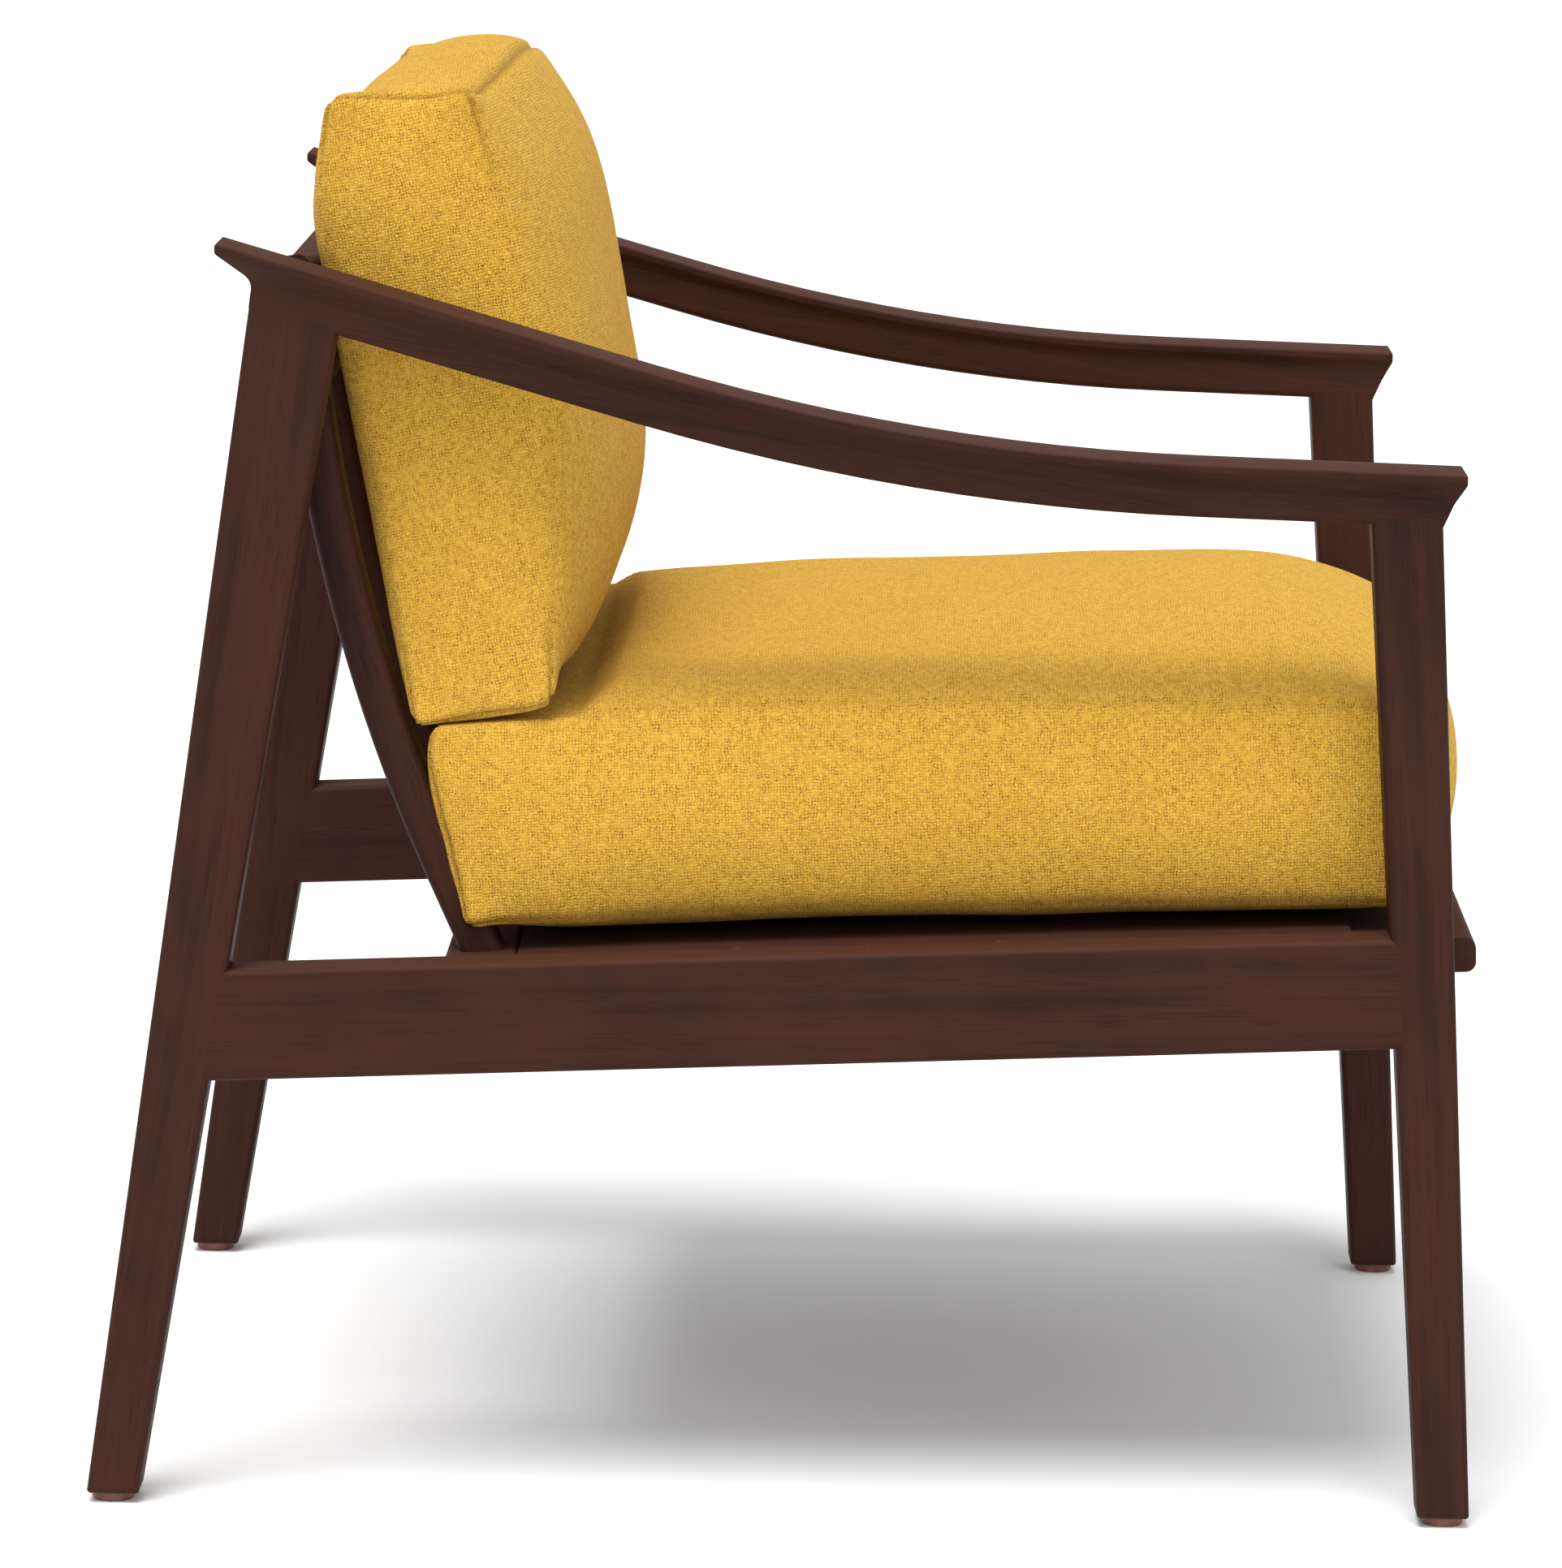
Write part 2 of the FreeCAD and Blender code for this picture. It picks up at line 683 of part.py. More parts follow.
def cushion_layers(corners, round_size):
    """Cover, wrap and core, each inside the one before."""
    outside = inset_prism(corners, 0.0, round_size)
    under_cover = inset_prism(corners, cover_thickness, round_size)
    core = inset_prism(corners, cover_thickness + wrap_thickness, round_size)
    return outside.cut(under_cover), under_cover.cut(core), core


def along_deck(y, z):
    """Point z above the deck, at the distance y behind the origin."""
    turn = math.radians(rail_pitch)
    return deck_point(0, (y - z * math.sin(turn)) / math.cos(turn), z)


def before_back(height, gap):
    """Point at a height above the deck, the gap ahead of the uprights."""
    level = deck_point(0, rear_rail_middle, height).z
    return along_deck(front_of_back(level) - gap, height)


def seat_cushion_top():
    """Rear and front end of the top of the seat cushion's side outline."""
    rear = before_back(cushion_gap + seat_cushion_rear, 4 * cushion_gap)
    return rear, along_deck(-seat_cushion_reach, cushion_gap + seat_cushion_front)


def seat_cushion_corners():
    """Side outline; the rear end follows the back uprights."""
    corner = cushion_corner_share * seat_cushion_round
    top_rear, top_front = seat_cushion_top()
    points = [before_back(cushion_gap, 2 * cushion_gap), top_rear, top_front,
              along_deck(-seat_cushion_reach, cushion_gap)]
    return [(point.y, point.z, corner) for point in points]


def crest_front():
    """Top front edge of the crest rail at its ends, less the clearance of the back cushion."""
    turn = math.radians(back_high_lean)
    edge = crest_point() - Vector(0, math.cos(turn), -math.sin(turn)) * (crest_thickness / 2)
    return edge - Vector(0, back_gap, 0)


def back_rest():
    """Foot and head of the back cushion's rear face, clear of the uprights all the way up."""
    foot = before_back(seat_cushion_rear + 2 * cushion_gap, back_gap)
    head = crest_front()
    bend = back_line(-upright_thickness / 2)[1].z
    level_share = (bend - foot.z) / (head.z - foot.z)
    needed = foot.y + (head.y - foot.y) * level_share - (front_of_back(bend) - back_gap)
    push = Vector(0, max(0.0, needed), 0)
    return foot - push, head - push


def back_cushion_corners():
    """Side outline; the bottom lies along the seat cushion and the rear face along the lift."""
    bottom_rear, shoulder = back_rest()
    top_rear, top_front = seat_cushion_top()
    rise = (top_front.z - top_rear.z) / (top_rear.y - top_front.y)
    bottom_front = bottom_rear + Vector(0, -back_cushion_base, rise * back_cushion_base)
    height = back_cushion_top - bottom_rear.z
    lift_way = (shoulder - bottom_rear).normalize()
    belly = bottom_rear + lift_way * (back_cushion_fullest * height)
    head_rear = shoulder.y - back_cushion_top_setback
    corner = cushion_corner_share * back_cushion_round
    return [(bottom_rear.y, bottom_rear.z, corner),
            (shoulder.y, shoulder.z, back_cushion_shoulder_round),
            (head_rear, back_cushion_top - back_cushion_top_slope, corner),
            (head_rear - back_cushion_head, back_cushion_top, corner),
            (belly.y - back_cushion_middle, belly.z, back_cushion_belly_round),
            (bottom_front.y, bottom_front.z, corner)]


# ---- Assembly -----------------------------------------------------------------------------------

def build():
    nodes = {}
    legs = {"front": (front_leg_front, front_leg_back), "rear": (rear_leg_front, rear_leg_back)}

    # Dowels of the right-hand side frame, and the holes that they go in
    arm_pins = []
    for edges in legs.values():
        arm_pins += leg_dowels(*edges)
    rail_pins = side_rail_dowels()
    rear_pins = cross_dowels(rear_rail_middle, -rear_rail_height / 2, rear_dowel_spacing)
    board_middle = (front_leg_front(deck_height) + front_leg_back(deck_height)) / 2
    board_pins = cross_dowels(board_middle, -front_board_drop - front_board_thickness / 2,
                              board_dowel_spacing)

    def pins(places, diameter, length, spare):
        return [rod(diameter, length + 2 * spare, start - way * spare, way) for start, way in places]

    def holes(places, diameter, length):
        return pins(places, diameter, length, glue_gap)

    arm_holes = holes(arm_pins, arm_dowel_diameter, arm_dowel_length)
    rail_holes = holes(rail_pins, rail_dowel_diameter, rail_dowel_length)
    rear_holes = holes(rear_pins, cross_dowel_diameter, cross_dowel_length)
    board_holes = holes(board_pins, cross_dowel_diameter, cross_dowel_length)
    crest_mortise = crest_place(crest_tenon(glue_gap))
    rail_screw_holes = bearer_screws(False)

    # Side frames
    rail = make_side_rail()
    leg_solids = {name: make_leg(*edges) for name, edges in legs.items()}
    glides = {name: make_glide(glide_spot(*edges)) for name, edges in legs.items()}
    nails = {name: make_glide_nail(glide_spot(*edges)) for name, edges in legs.items()}
    arm = cut_all(make_arm(), list(leg_solids.values()) + arm_holes)
    for name, leg in leg_solids.items():
        tools = [rail, nails[name], crest_mortise] + arm_holes + rail_holes + board_holes
        leg = cut_all(leg, tools)
        nodes[name + "_leg_right"] = leg
        nodes[name + "_leg_left"] = mirrored(leg)
        glide = glides[name].cut(nails[name])
        nodes["glide_" + name + "_right"] = glide
        nodes["glide_" + name + "_left"] = mirrored(glide)
    rail = cut_all(rail, rail_holes + rear_holes + board_holes + rail_screw_holes)
    nodes["arm_right"] = arm
    nodes["arm_left"] = mirrored(arm)
    nodes["side_rail_right"] = rail
    nodes["side_rail_left"] = mirrored(rail)

    # Back
    middles = upright_middles()
    names = ["back_stile_right"]
    names += ["back_slat_%d" % number for number in range(1, upright_count - 1)]
    names += ["back_stile_left"]
    crest = make_crest()
    rear_rail = make_rear_rail()
    for name, middle in zip(names, middles):
        nodes[name] = make_upright(middle)
        mortises = upright_tenons(middle, glue_gap).fuse(nodes[name])
        crest = crest.cut(mortises)
        rear_rail = rear_rail.cut(mortises)
    nodes["crest_rail"] = cut_all(crest, both_sides(arm))
    nodes["rear_seat_rail"] = cut_all(rear_rail, rear_holes + [mirrored(hole) for hole in rear_holes])

    # Deck
    front_board = make_front_board()
    nodes["front_board"] = cut_all(front_board, board_holes + [mirrored(hole) for hole in board_holes])
    places = slat_places()
    slat_holes = slat_screw_holes(places)
    bearer = cut_all(make_bearer(places), slat_holes + rail_screw_holes)
    nodes["seat_bearer_right"] = bearer
    nodes["seat_bearer_left"] = mirrored(bearer)
    for number, middle in enumerate(places, 1):
        hole = slat_holes[number - 1]
        nodes["seat_slat_%d" % number] = cut_all(make_slat(middle), both_sides(hole))
    panel_holes = [one_side for hole in slat_holes for one_side in both_sides(hole)]
    nodes["deck_panel"] = cut_all(make_deck_panel(), panel_holes)

    # Hidden fastenings, one node for each kind
    def group(parts):
        return Part.makeCompound(parts + [mirrored(part) for part in parts])

    nodes["arm_dowels"] = group(pins(arm_pins, arm_dowel_diameter, arm_dowel_length, 0))
    nodes["side_rail_dowels"] = group(pins(rail_pins, rail_dowel_diameter, rail_dowel_length, 0))
    nodes["rear_rail_dowels"] = group(pins(rear_pins, cross_dowel_diameter, cross_dowel_length, 0))
    nodes["front_board_dowels"] = group(pins(board_pins, cross_dowel_diameter, cross_dowel_length, 0))
    nodes["bearer_screws"] = group(bearer_screws(True))
    nodes["slat_screws"] = group(slat_screws(places))
    nodes["glide_nails"] = group(list(nails.values()))

    # Cushions
    cushions = {"seat": (seat_cushion_corners(), seat_cushion_round),
                "back": (back_cushion_corners(), back_cushion_round)}
    for name, (corners, round_size) in cushions.items():
        for part, layer in zip(("cover", "wrap", "core"), cushion_layers(corners, round_size)):
            nodes[name + "_cushion_" + part] = layer
    return nodes


os.makedirs("parts", exist_ok=True)
for node_name, node_shape in build().items():
    node_shape.exportStep(os.path.join("parts", node_name + ".step"))
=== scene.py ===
"""Looks of a wooden lounge armchair with two loose cushions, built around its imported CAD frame."""

import json
import math

import bpy
import numpy as np
from mathutils import Matrix, Vector, noise


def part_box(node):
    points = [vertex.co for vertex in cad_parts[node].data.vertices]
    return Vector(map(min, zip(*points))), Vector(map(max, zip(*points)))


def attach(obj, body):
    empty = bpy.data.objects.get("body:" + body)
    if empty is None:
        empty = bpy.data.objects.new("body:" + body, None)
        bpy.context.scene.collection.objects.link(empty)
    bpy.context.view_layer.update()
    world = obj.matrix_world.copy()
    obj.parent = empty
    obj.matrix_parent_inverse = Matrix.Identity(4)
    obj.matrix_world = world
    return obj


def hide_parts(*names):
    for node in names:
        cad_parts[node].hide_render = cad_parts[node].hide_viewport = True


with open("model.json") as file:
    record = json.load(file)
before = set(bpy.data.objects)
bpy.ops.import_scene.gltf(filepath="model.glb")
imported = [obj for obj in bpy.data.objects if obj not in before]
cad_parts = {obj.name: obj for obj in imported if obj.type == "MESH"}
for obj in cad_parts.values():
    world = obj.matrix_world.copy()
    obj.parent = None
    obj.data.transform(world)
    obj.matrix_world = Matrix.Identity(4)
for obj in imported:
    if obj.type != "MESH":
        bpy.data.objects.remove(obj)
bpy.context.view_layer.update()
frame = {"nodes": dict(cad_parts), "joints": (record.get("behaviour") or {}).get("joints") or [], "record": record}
nodes = frame["nodes"]

# ---- Sizes, in metres ---------------------------------------------------------------------------

# Camera: beside the chair, on the sitter's right, a little above the arms
camera_place = Vector((-4.614, -0.055, 1.116))
camera_yaw = math.radians(0.791)
camera_pitch = math.radians(9.152)
camera_roll = math.radians(0.901)
camera_lens = 174.5
camera_sensor = 36.0
camera_sight = 200.0

# Cushions
grid_size = 0.007               # spacing of a cushion's mesh before it is subdivided
curve_steps = 24                # between two given points of an outline
side_inset = 0.009              # how far a cushion's sides pull in between its corners
side_inset_power = 0.5          # below 1 keeps that even between the corners
side_bulge = 0.009              # how far the boxing swells out past that
side_bulge_power = 0.6
crown_flat_power = 2.4          # how far out from the middle the crown stays high
crown_round_power = 0.9
first_rounds = 3                # rounds of smoothing over the whole cushion
last_rounds = 2                 # and after the cloth
cloth_pressure = 60.0
cloth_frames = 20
seam_hold = 0.9                 # how firmly the seams stay put while the panels fill with air
swell_everywhere = 0.003        # how far any face may swell, besides the next two
seat_swell = (0.004, 0.003)     # for faces that look ahead and up
back_swell = (0.006, 0.004)
seam_width = 0.006
seam_depth = 0.003
faint_seam = 0.22               # share of that depth away from the corners
plain_seam_reach = 0.035        # how far from a cushion's ends the seams show plainly
pucker_reach = 0.012
pucker_height = 0.0014
ear_reach = 0.02                # size of the pinched corners
ear_length = 0.011              # how far they stick out
edge_softness = 24              # rounds of smoothing along the edges, away from the corners
edge_reach = 0.03               # how far from an edge that smoothing fades
sharp_corner = (0.02, 0.12)     # from kept sharp to fully smoothed, by distance from a corner
seam_grip = 0.02                # how far in from a seam its hold reaches while the cloth fills
simulated_crown = 0.84          # share of the crown built in before the cloth adds the rest
gather_scale = 70.0             # puckers beside a seam, per metre
fold_scale = 14.0               # broad folds, per metre
fold_depth = 0.0015             # everywhere
corner_fold_depth = 0.005       # more than that near the corners
corner_fold_reach = 0.06
seat_phase = 3.1                # where each cushion's folds start in the pattern
back_phase = 7.7
fold_phase_step = 5.0           # keeps broad folds apart from the puckers
left_slump = 0.01               # the back cushion's top sags this much on the sitter's left
slump_across = (-0.1, 0.3)      # where across the chair that sag starts and is full
slump_height = (0.15, 0.36)     # and how high up the cushion
rest_gap = 0.0006               # clearance kept between a cushion and what it rests on
under_back_height = 0.1335      # plane where the two cushions meet, over the deck at the rear
under_back_slope = 0.0267
under_back_reach = 0.088        # how far forward the back cushion presses on the seat cushion
press_release = 0.7             # how fast the pressed hollow rises ahead of that

# Weave
yarn_pitch = 0.00175

# Studio
floor_reach = 60.0
sky_strength = 0.68
overhead_from = (-0.42, 0.14, 1.0)
overhead_strength = 3.1
overhead_softness = math.radians(34.0)
side_from = (-1.0, -0.35, 0.42)
side_strength = 0.75
side_softness = math.radians(60.0)

# ---- Colours ------------------------------------------------------------------------------------

wood_base = (0.0285, 0.0078, 0.0038, 1.0)
wood_dark = (0.0098, 0.0027, 0.0015, 1.0)
wood_light = (0.053, 0.0165, 0.0092, 1.0)
# Painted light: faces of the wood that look up are lightened towards this colour
wood_painted_top_light = (0.07, 0.0245, 0.0155, 1.0)

yarn_bright = (0.71, 0.42, 0.058, 1.0)
yarn_plain = (0.62, 0.33, 0.034, 1.0)
# Painted shade, laid into the weave's holes and into the seams
weave_painted_shade = (0.14, 0.05, 0.005, 1.0)
fabric_sheen = (1.0, 0.8, 0.4, 1.0)

glide_dark = (0.12, 0.036, 0.022, 1.0)
glide_light = (0.19, 0.062, 0.038, 1.0)
steel_dark = (0.42, 0.41, 0.4, 1.0)
steel_light = (0.62, 0.61, 0.59, 1.0)
beech_base = (0.5, 0.32, 0.17, 1.0)
beech_dark = (0.3, 0.17, 0.08, 1.0)
beech_light = (0.62, 0.43, 0.25, 1.0)
foam_light = (0.75, 0.68, 0.45, 1.0)
foam_dark = (0.6, 0.52, 0.33, 1.0)
fibre_light = (0.86, 0.86, 0.83, 1.0)
fibre_dark = (0.7, 0.7, 0.67, 1.0)
floor_dark = (0.9, 0.9, 0.9, 1.0)
floor_light = (0.93, 0.93, 0.93, 1.0)


# ---- Node helpers -------------------------------------------------------------------------------

class Graph:
    """Short ways to add and join shader nodes in one tree."""

    def __init__(self, tree):
        self.tree = tree

    def add(self, kind, inputs=None, **settings):
        node = self.tree.nodes.new(kind)
        for name, value in settings.items():
            setattr(node, name, value)
        for key, value in (inputs or {}).items():
            self.put(node.inputs[key], value)
        return node

    def put(self, socket, value):
        if isinstance(value, bpy.types.NodeSocket):
            self.tree.links.new(value, socket)
        else:
            socket.default_value = value

    def math(self, operation, a, b=None):
        node = self.add("ShaderNodeMath", operation=operation)
        for socket, value in zip(node.inputs, (a, b)):
            if value is not None:
                self.put(socket, value)
        return node.outputs[0]

    def times(self, a, b):
        return self.math("MULTIPLY", a, b)

    def plus(self, a, b):
        return self.math("ADD", a, b)

    def vector(self, operation, a, b=None):
        node = self.add("ShaderNodeVectorMath", operation=operation)
        self.put(node.inputs[0], a)
        if b is not None:
            self.put(node.inputs[1], b)
        return node.outputs["Vector"]

    def stretch(self, vector, by):
        return self.vector("MULTIPLY", vector, by)

    def noise(self, vector, scale, detail=2.0, roughness=0.5, distortion=0.0):
        node = self.add("ShaderNodeTexNoise", {"Vector": vector, "Scale": scale, "Detail": detail,
                                               "Roughness": roughness, "Distortion": distortion})
        return node.outputs["Fac"]

    def ramp(self, value, low, high):
        """0 below low, 1 above high, smooth between."""
        node = self.add("ShaderNodeMapRange", {"Value": value, "From Min": low, "From Max": high},
                        interpolation_type="SMOOTHSTEP")
        return node.outputs["Result"]

    def spread(self, value, low, high):
        """0..1 stretched to low..high."""
        node = self.add("ShaderNodeMapRange", {"Value": value, "To Min": low, "To Max": high})
        return node.outputs["Result"]

    def mix(self, share, a, b):
        node = self.add("ShaderNodeMix", data_type="RGBA")
        self.put(node.inputs[0], share)
        self.put(node.inputs[6], a)
        self.put(node.inputs[7], b)
        return node.outputs[2]

    def separate(self, vector):
        return self.add("ShaderNodeSeparateXYZ", {"Vector": vector}).outputs

    def combine(self, x, y, z):
        return self.add("ShaderNodeCombineXYZ", {"X": x, "Y": y, "Z": z}).outputs["Vector"]


def new_group(name, inputs, outputs):
    """Empty shader group with its sockets; returns the group, a Graph, and its in and out nodes."""
    tree = bpy.data.node_groups.new(name, "ShaderNodeTree")
    for label, kind, default in inputs:
        socket = tree.interface.new_socket(label, in_out="INPUT", socket_type=kind)
        if default is not None:
            socket.default_value = default
    for label, kind in outputs:
        tree.interface.new_socket(label, in_out="OUTPUT", socket_type=kind)
    graph = Graph(tree)
    return tree, graph, graph.add("NodeGroupInput").outputs, graph.add("NodeGroupOutput")


def new_material(name):
    """Material with only a Principled shader; returns it, its Graph and the shader."""
    material = bpy.data.materials.new(name)
    material.use_nodes = True
    material.node_tree.nodes.clear()
    graph = Graph(material.node_tree)
    shader = graph.add("ShaderNodeBsdfPrincipled")
    graph.add("ShaderNodeOutputMaterial", {"Surface": shader.outputs[0]})
    return material, graph, shader


def use_group(graph, tree, **inputs):
    node = graph.add("ShaderNodeGroup", node_tree=tree)
    for key, value in inputs.items():
        graph.put(node.inputs[key], value)
    return node.outputs


def bump(graph, height, strength, distance):
    return graph.add("ShaderNodeBump", {"Height": height, "Strength": strength,
                                        "Distance": distance}).outputs[0]


# ---- Shared effects -----------------------------------------------------------------------------

def wood_grain_group():
    """Grain along the Z axis of the incoming coordinates, in metres."""
    # Noise scales are counts per metre: across the grain twice, then along it
    wander_scale, wander_width = (6.0, 6.0, 1.6), (0.03, 0.03, 0.0)
    band_scale, fine_band_scale = (55.0, 55.0, 2.2), (190.0, 190.0, 5.0)
    patch_scale, pore_field_scale = (9.0, 9.0, 1.7), (120.0, 120.0, 12.0)
    pore_scale = (1150.0, 1150.0, 34.0)
    patch_light, band_light, band_dark, pore_dark = 0.3, 0.34, 0.62, 0.55
    satin_roughness, pore_roughness, band_height = (0.36, 0.5), 0.14, 0.25

    tree, g, given, out = new_group(
        "wood grain",
        [("Vector", "NodeSocketVector", None), ("Base", "NodeSocketColor", wood_base),
         ("Dark", "NodeSocketColor", wood_dark), ("Light", "NodeSocketColor", wood_light)],
        [("Color", "NodeSocketColor"), ("Roughness", "NodeSocketFloat"),
         ("Height", "NodeSocketFloat")])
    place = given["Vector"]
    wander = g.add("ShaderNodeTexNoise", {"Vector": g.stretch(place, wander_scale),
                                          "Scale": 1.0, "Detail": 2.0})
    shift = g.vector("SUBTRACT", wander.outputs["Color"], (0.5, 0.5, 0.5))
    bent = g.vector("ADD", place, g.stretch(shift, wander_width))

    # Growth bands, drawn out along the grain
    bands = g.noise(g.stretch(bent, band_scale), 1.0, detail=3.0, roughness=0.55, distortion=0.4)
    fine_bands = g.noise(g.stretch(bent, fine_band_scale), 1.0, detail=2.0, roughness=0.5)
    patches = g.noise(g.stretch(bent, patch_scale), 1.0, detail=1.0)

    # Pores: short dark lines
    pores = g.noise(g.stretch(bent, pore_scale), 1.0, detail=1.0, roughness=0.4)
    pore_field = g.ramp(g.noise(g.stretch(bent, pore_field_scale), 1.0, detail=1.0), 0.42, 0.62)
    pore_mask = g.times(g.ramp(pores, 0.56, 0.68), pore_field)

    color = g.mix(g.times(g.ramp(patches, 0.35, 0.7), patch_light), given["Base"], given["Light"])
    color = g.mix(g.times(g.ramp(fine_bands, 0.5, 0.74), band_light), color, given["Light"])
    color = g.mix(g.times(g.ramp(bands, 0.46, 0.7), band_dark), color, given["Dark"])
    color = g.mix(g.times(pore_mask, pore_dark), color, given["Dark"])
    g.put(out.inputs["Color"], color)
    g.put(out.inputs["Roughness"], g.plus(g.spread(fine_bands, *satin_roughness),
                                          g.times(pore_mask, pore_roughness)))
    g.put(out.inputs["Height"], g.math("SUBTRACT", g.times(fine_bands, band_height), pore_mask))
    return tree


def box_weave_group():
    """Plain weave of slubby yarns, laid on whichever of three planes the surface faces."""
    drift_scale, drift_yarns = 38.0, 2.6        # slow wander: times per metre, and in yarn widths
    jitter_scale, jitter_yarns = 330.0, 1.9     # quick wander, the same way
    round_yarn, long_yarn = 0.6, 0.3            # powers that shape a yarn across and along
    run_step, run_stretch = 7.3, 0.16           # fullness: new for each yarn, slow along it
    weft_run_start = 4.0                        # sets the weft's fullness apart from the warp's
    ply_count = 3.1
    run_share, crossing_share = 0.55, 0.45
    woven_height, slub_height, ply_height = 0.8, 0.5, 0.55

    tree, g, given, out = new_group(
        "woven yarns",
        [("Vector", "NodeSocketVector", None), ("Facing", "NodeSocketVector", None),
         ("Pitch", "NodeSocketFloat", yarn_pitch)],
        [("Height", "NodeSocketFloat"), ("Hole", "NodeSocketFloat"), ("Slub", "NodeSocketFloat")])
    spot = g.separate(given["Vector"])
    facing = g.separate(g.vector("ABSOLUTE", given["Facing"]))
    x_wins = g.times(g.math("GREATER_THAN", facing[0], facing[1]),
                     g.math("GREATER_THAN", facing[0], facing[2]))
    not_x = g.math("SUBTRACT", 1.0, x_wins)
    z_wins = g.times(g.math("GREATER_THAN", facing[2], facing[1]), not_x)
    # u runs across the chair, or front to back on its sides; v runs up, or front to back on top
    u = g.plus(g.times(spot[1], x_wins), g.times(spot[0], not_x))
    v = g.plus(g.times(spot[1], z_wins), g.times(spot[2], g.math("SUBTRACT", 1.0, z_wins)))
    drift = g.add("ShaderNodeTexNoise", {"Vector": given["Vector"], "Scale": drift_scale,
                                         "Detail": 3.0})
    drift_parts = g.separate(g.vector("SUBTRACT", drift.outputs["Color"], (0.5, 0.5, 0.5)))
    jitter = g.add("ShaderNodeTexNoise", {"Vector": given["Vector"], "Scale": jitter_scale,
                                          "Detail": 2.0, "Roughness": 0.65})
    jitter_parts = g.separate(g.vector("SUBTRACT", jitter.outputs["Color"], (0.5, 0.5, 0.5)))

    def yarn_count(flat, slow, quick):
        steps = g.plus(g.math("DIVIDE", flat, given["Pitch"]), g.times(slow, drift_yarns))
        return g.plus(steps, g.times(quick, jitter_yarns))

    def hump(count):
        return g.math("ABSOLUTE", g.math("SINE", g.times(count, math.pi)))

    across = yarn_count(u, drift_parts[0], jitter_parts[0])
    along = yarn_count(v, drift_parts[1], jitter_parts[1])
    across_cell = g.math("FLOOR", across)
    along_cell = g.math("FLOOR", along)
    over = g.math("ABSOLUTE", g.math("MODULO", g.plus(across_cell, along_cell), 2.0))
    under = g.math("SUBTRACT", 1.0, over)

    def on_top(warp_value, weft_value):
        return g.plus(g.times(warp_value, over), g.times(weft_value, under))

    # Where the warp is on top it is long along v, and the weft is long along u
    across_hump = hump(across)
    along_hump = hump(along)
    warp = g.times(g.math("POWER", across_hump, round_yarn), g.math("POWER", along_hump, long_yarn))
    weft = g.times(g.math("POWER", along_hump, round_yarn), g.math("POWER", across_hump, long_yarn))
    woven = on_top(warp, weft)

    # Every crossing has its own fullness, and so has every stretch of yarn
    crossing = g.add("ShaderNodeTexWhiteNoise",
                     {"Vector": g.combine(across_cell, along_cell, 0.0)})
    crossing_parts = g.separate(crossing.outputs["Color"])
    warp_run = g.noise(g.combine(g.times(across_cell, run_step), g.times(along, run_stretch), 0.0),
                       1.0, detail=2.0, roughness=0.6)
    weft_run = g.noise(g.combine(g.times(across, run_stretch), g.times(along_cell, run_step),
                                 weft_run_start), 1.0, detail=2.0, roughness=0.6)
    slub = g.plus(g.times(on_top(warp_run, weft_run), run_share),
                  g.times(crossing_parts[0], crossing_share))

    # Plies and loose fibres along the yarn that lies on top
    ply = g.noise(g.combine(g.times(across, ply_count), g.times(along, ply_count), over),
                  1.0, detail=2.0, roughness=0.7)
    fullness = g.plus(g.times(slub, slub_height), g.times(ply, ply_height))
    g.put(out.inputs["Height"], g.plus(g.times(woven, woven_height), fullness))
    # Hole marks where the yarns lie low; the weave material paints shade there
    depth = g.math("SUBTRACT", 1.0, woven)
    open_here = g.ramp(g.plus(crossing_parts[1], g.times(jitter_parts[2], 0.5)), 0.2, 0.85)
    g.put(out.inputs["Hole"], g.times(g.ramp(depth, 0.3, 0.68), open_here))
    g.put(out.inputs["Slub"], g.plus(g.times(slub, 0.7), g.times(ply, 0.3)))
    return tree


def mottle_and_painted_light_group():
    """Masks: painted highlight on sharp outer edges, uneven patches, painted light on upward faces."""
    tree, g, given, out = new_group(
        "handling wear",
        [("Vector", "NodeSocketVector", None), ("Facing", "NodeSocketVector", None),
         ("Scale", "NodeSocketFloat", 8.0)],
        [("Edge", "NodeSocketFloat"), ("Patch", "NodeSocketFloat"), ("Top", "NodeSocketFloat")])
    # Painted highlight on sharp outer edges, found from the mesh's pointiness and broken up by patches
    edge = g.ramp(g.add("ShaderNodeNewGeometry").outputs["Pointiness"], 0.52, 0.6)
    patch = g.noise(given["Vector"], given["Scale"], detail=3.0, roughness=0.6)
    g.put(out.inputs["Edge"], g.times(edge, g.ramp(patch, 0.3, 0.7)))
    g.put(out.inputs["Patch"], patch)
    # Painted light: faces that look up, for lightening them
    g.put(out.inputs["Top"], g.ramp(g.separate(given["Facing"])[2], 0.35, 0.95))
    return tree


grain = wood_grain_group()
weave = box_weave_group()
mottle_and_painted_light = mottle_and_painted_light_group()


# ---- Materials ----------------------------------------------------------------------------------

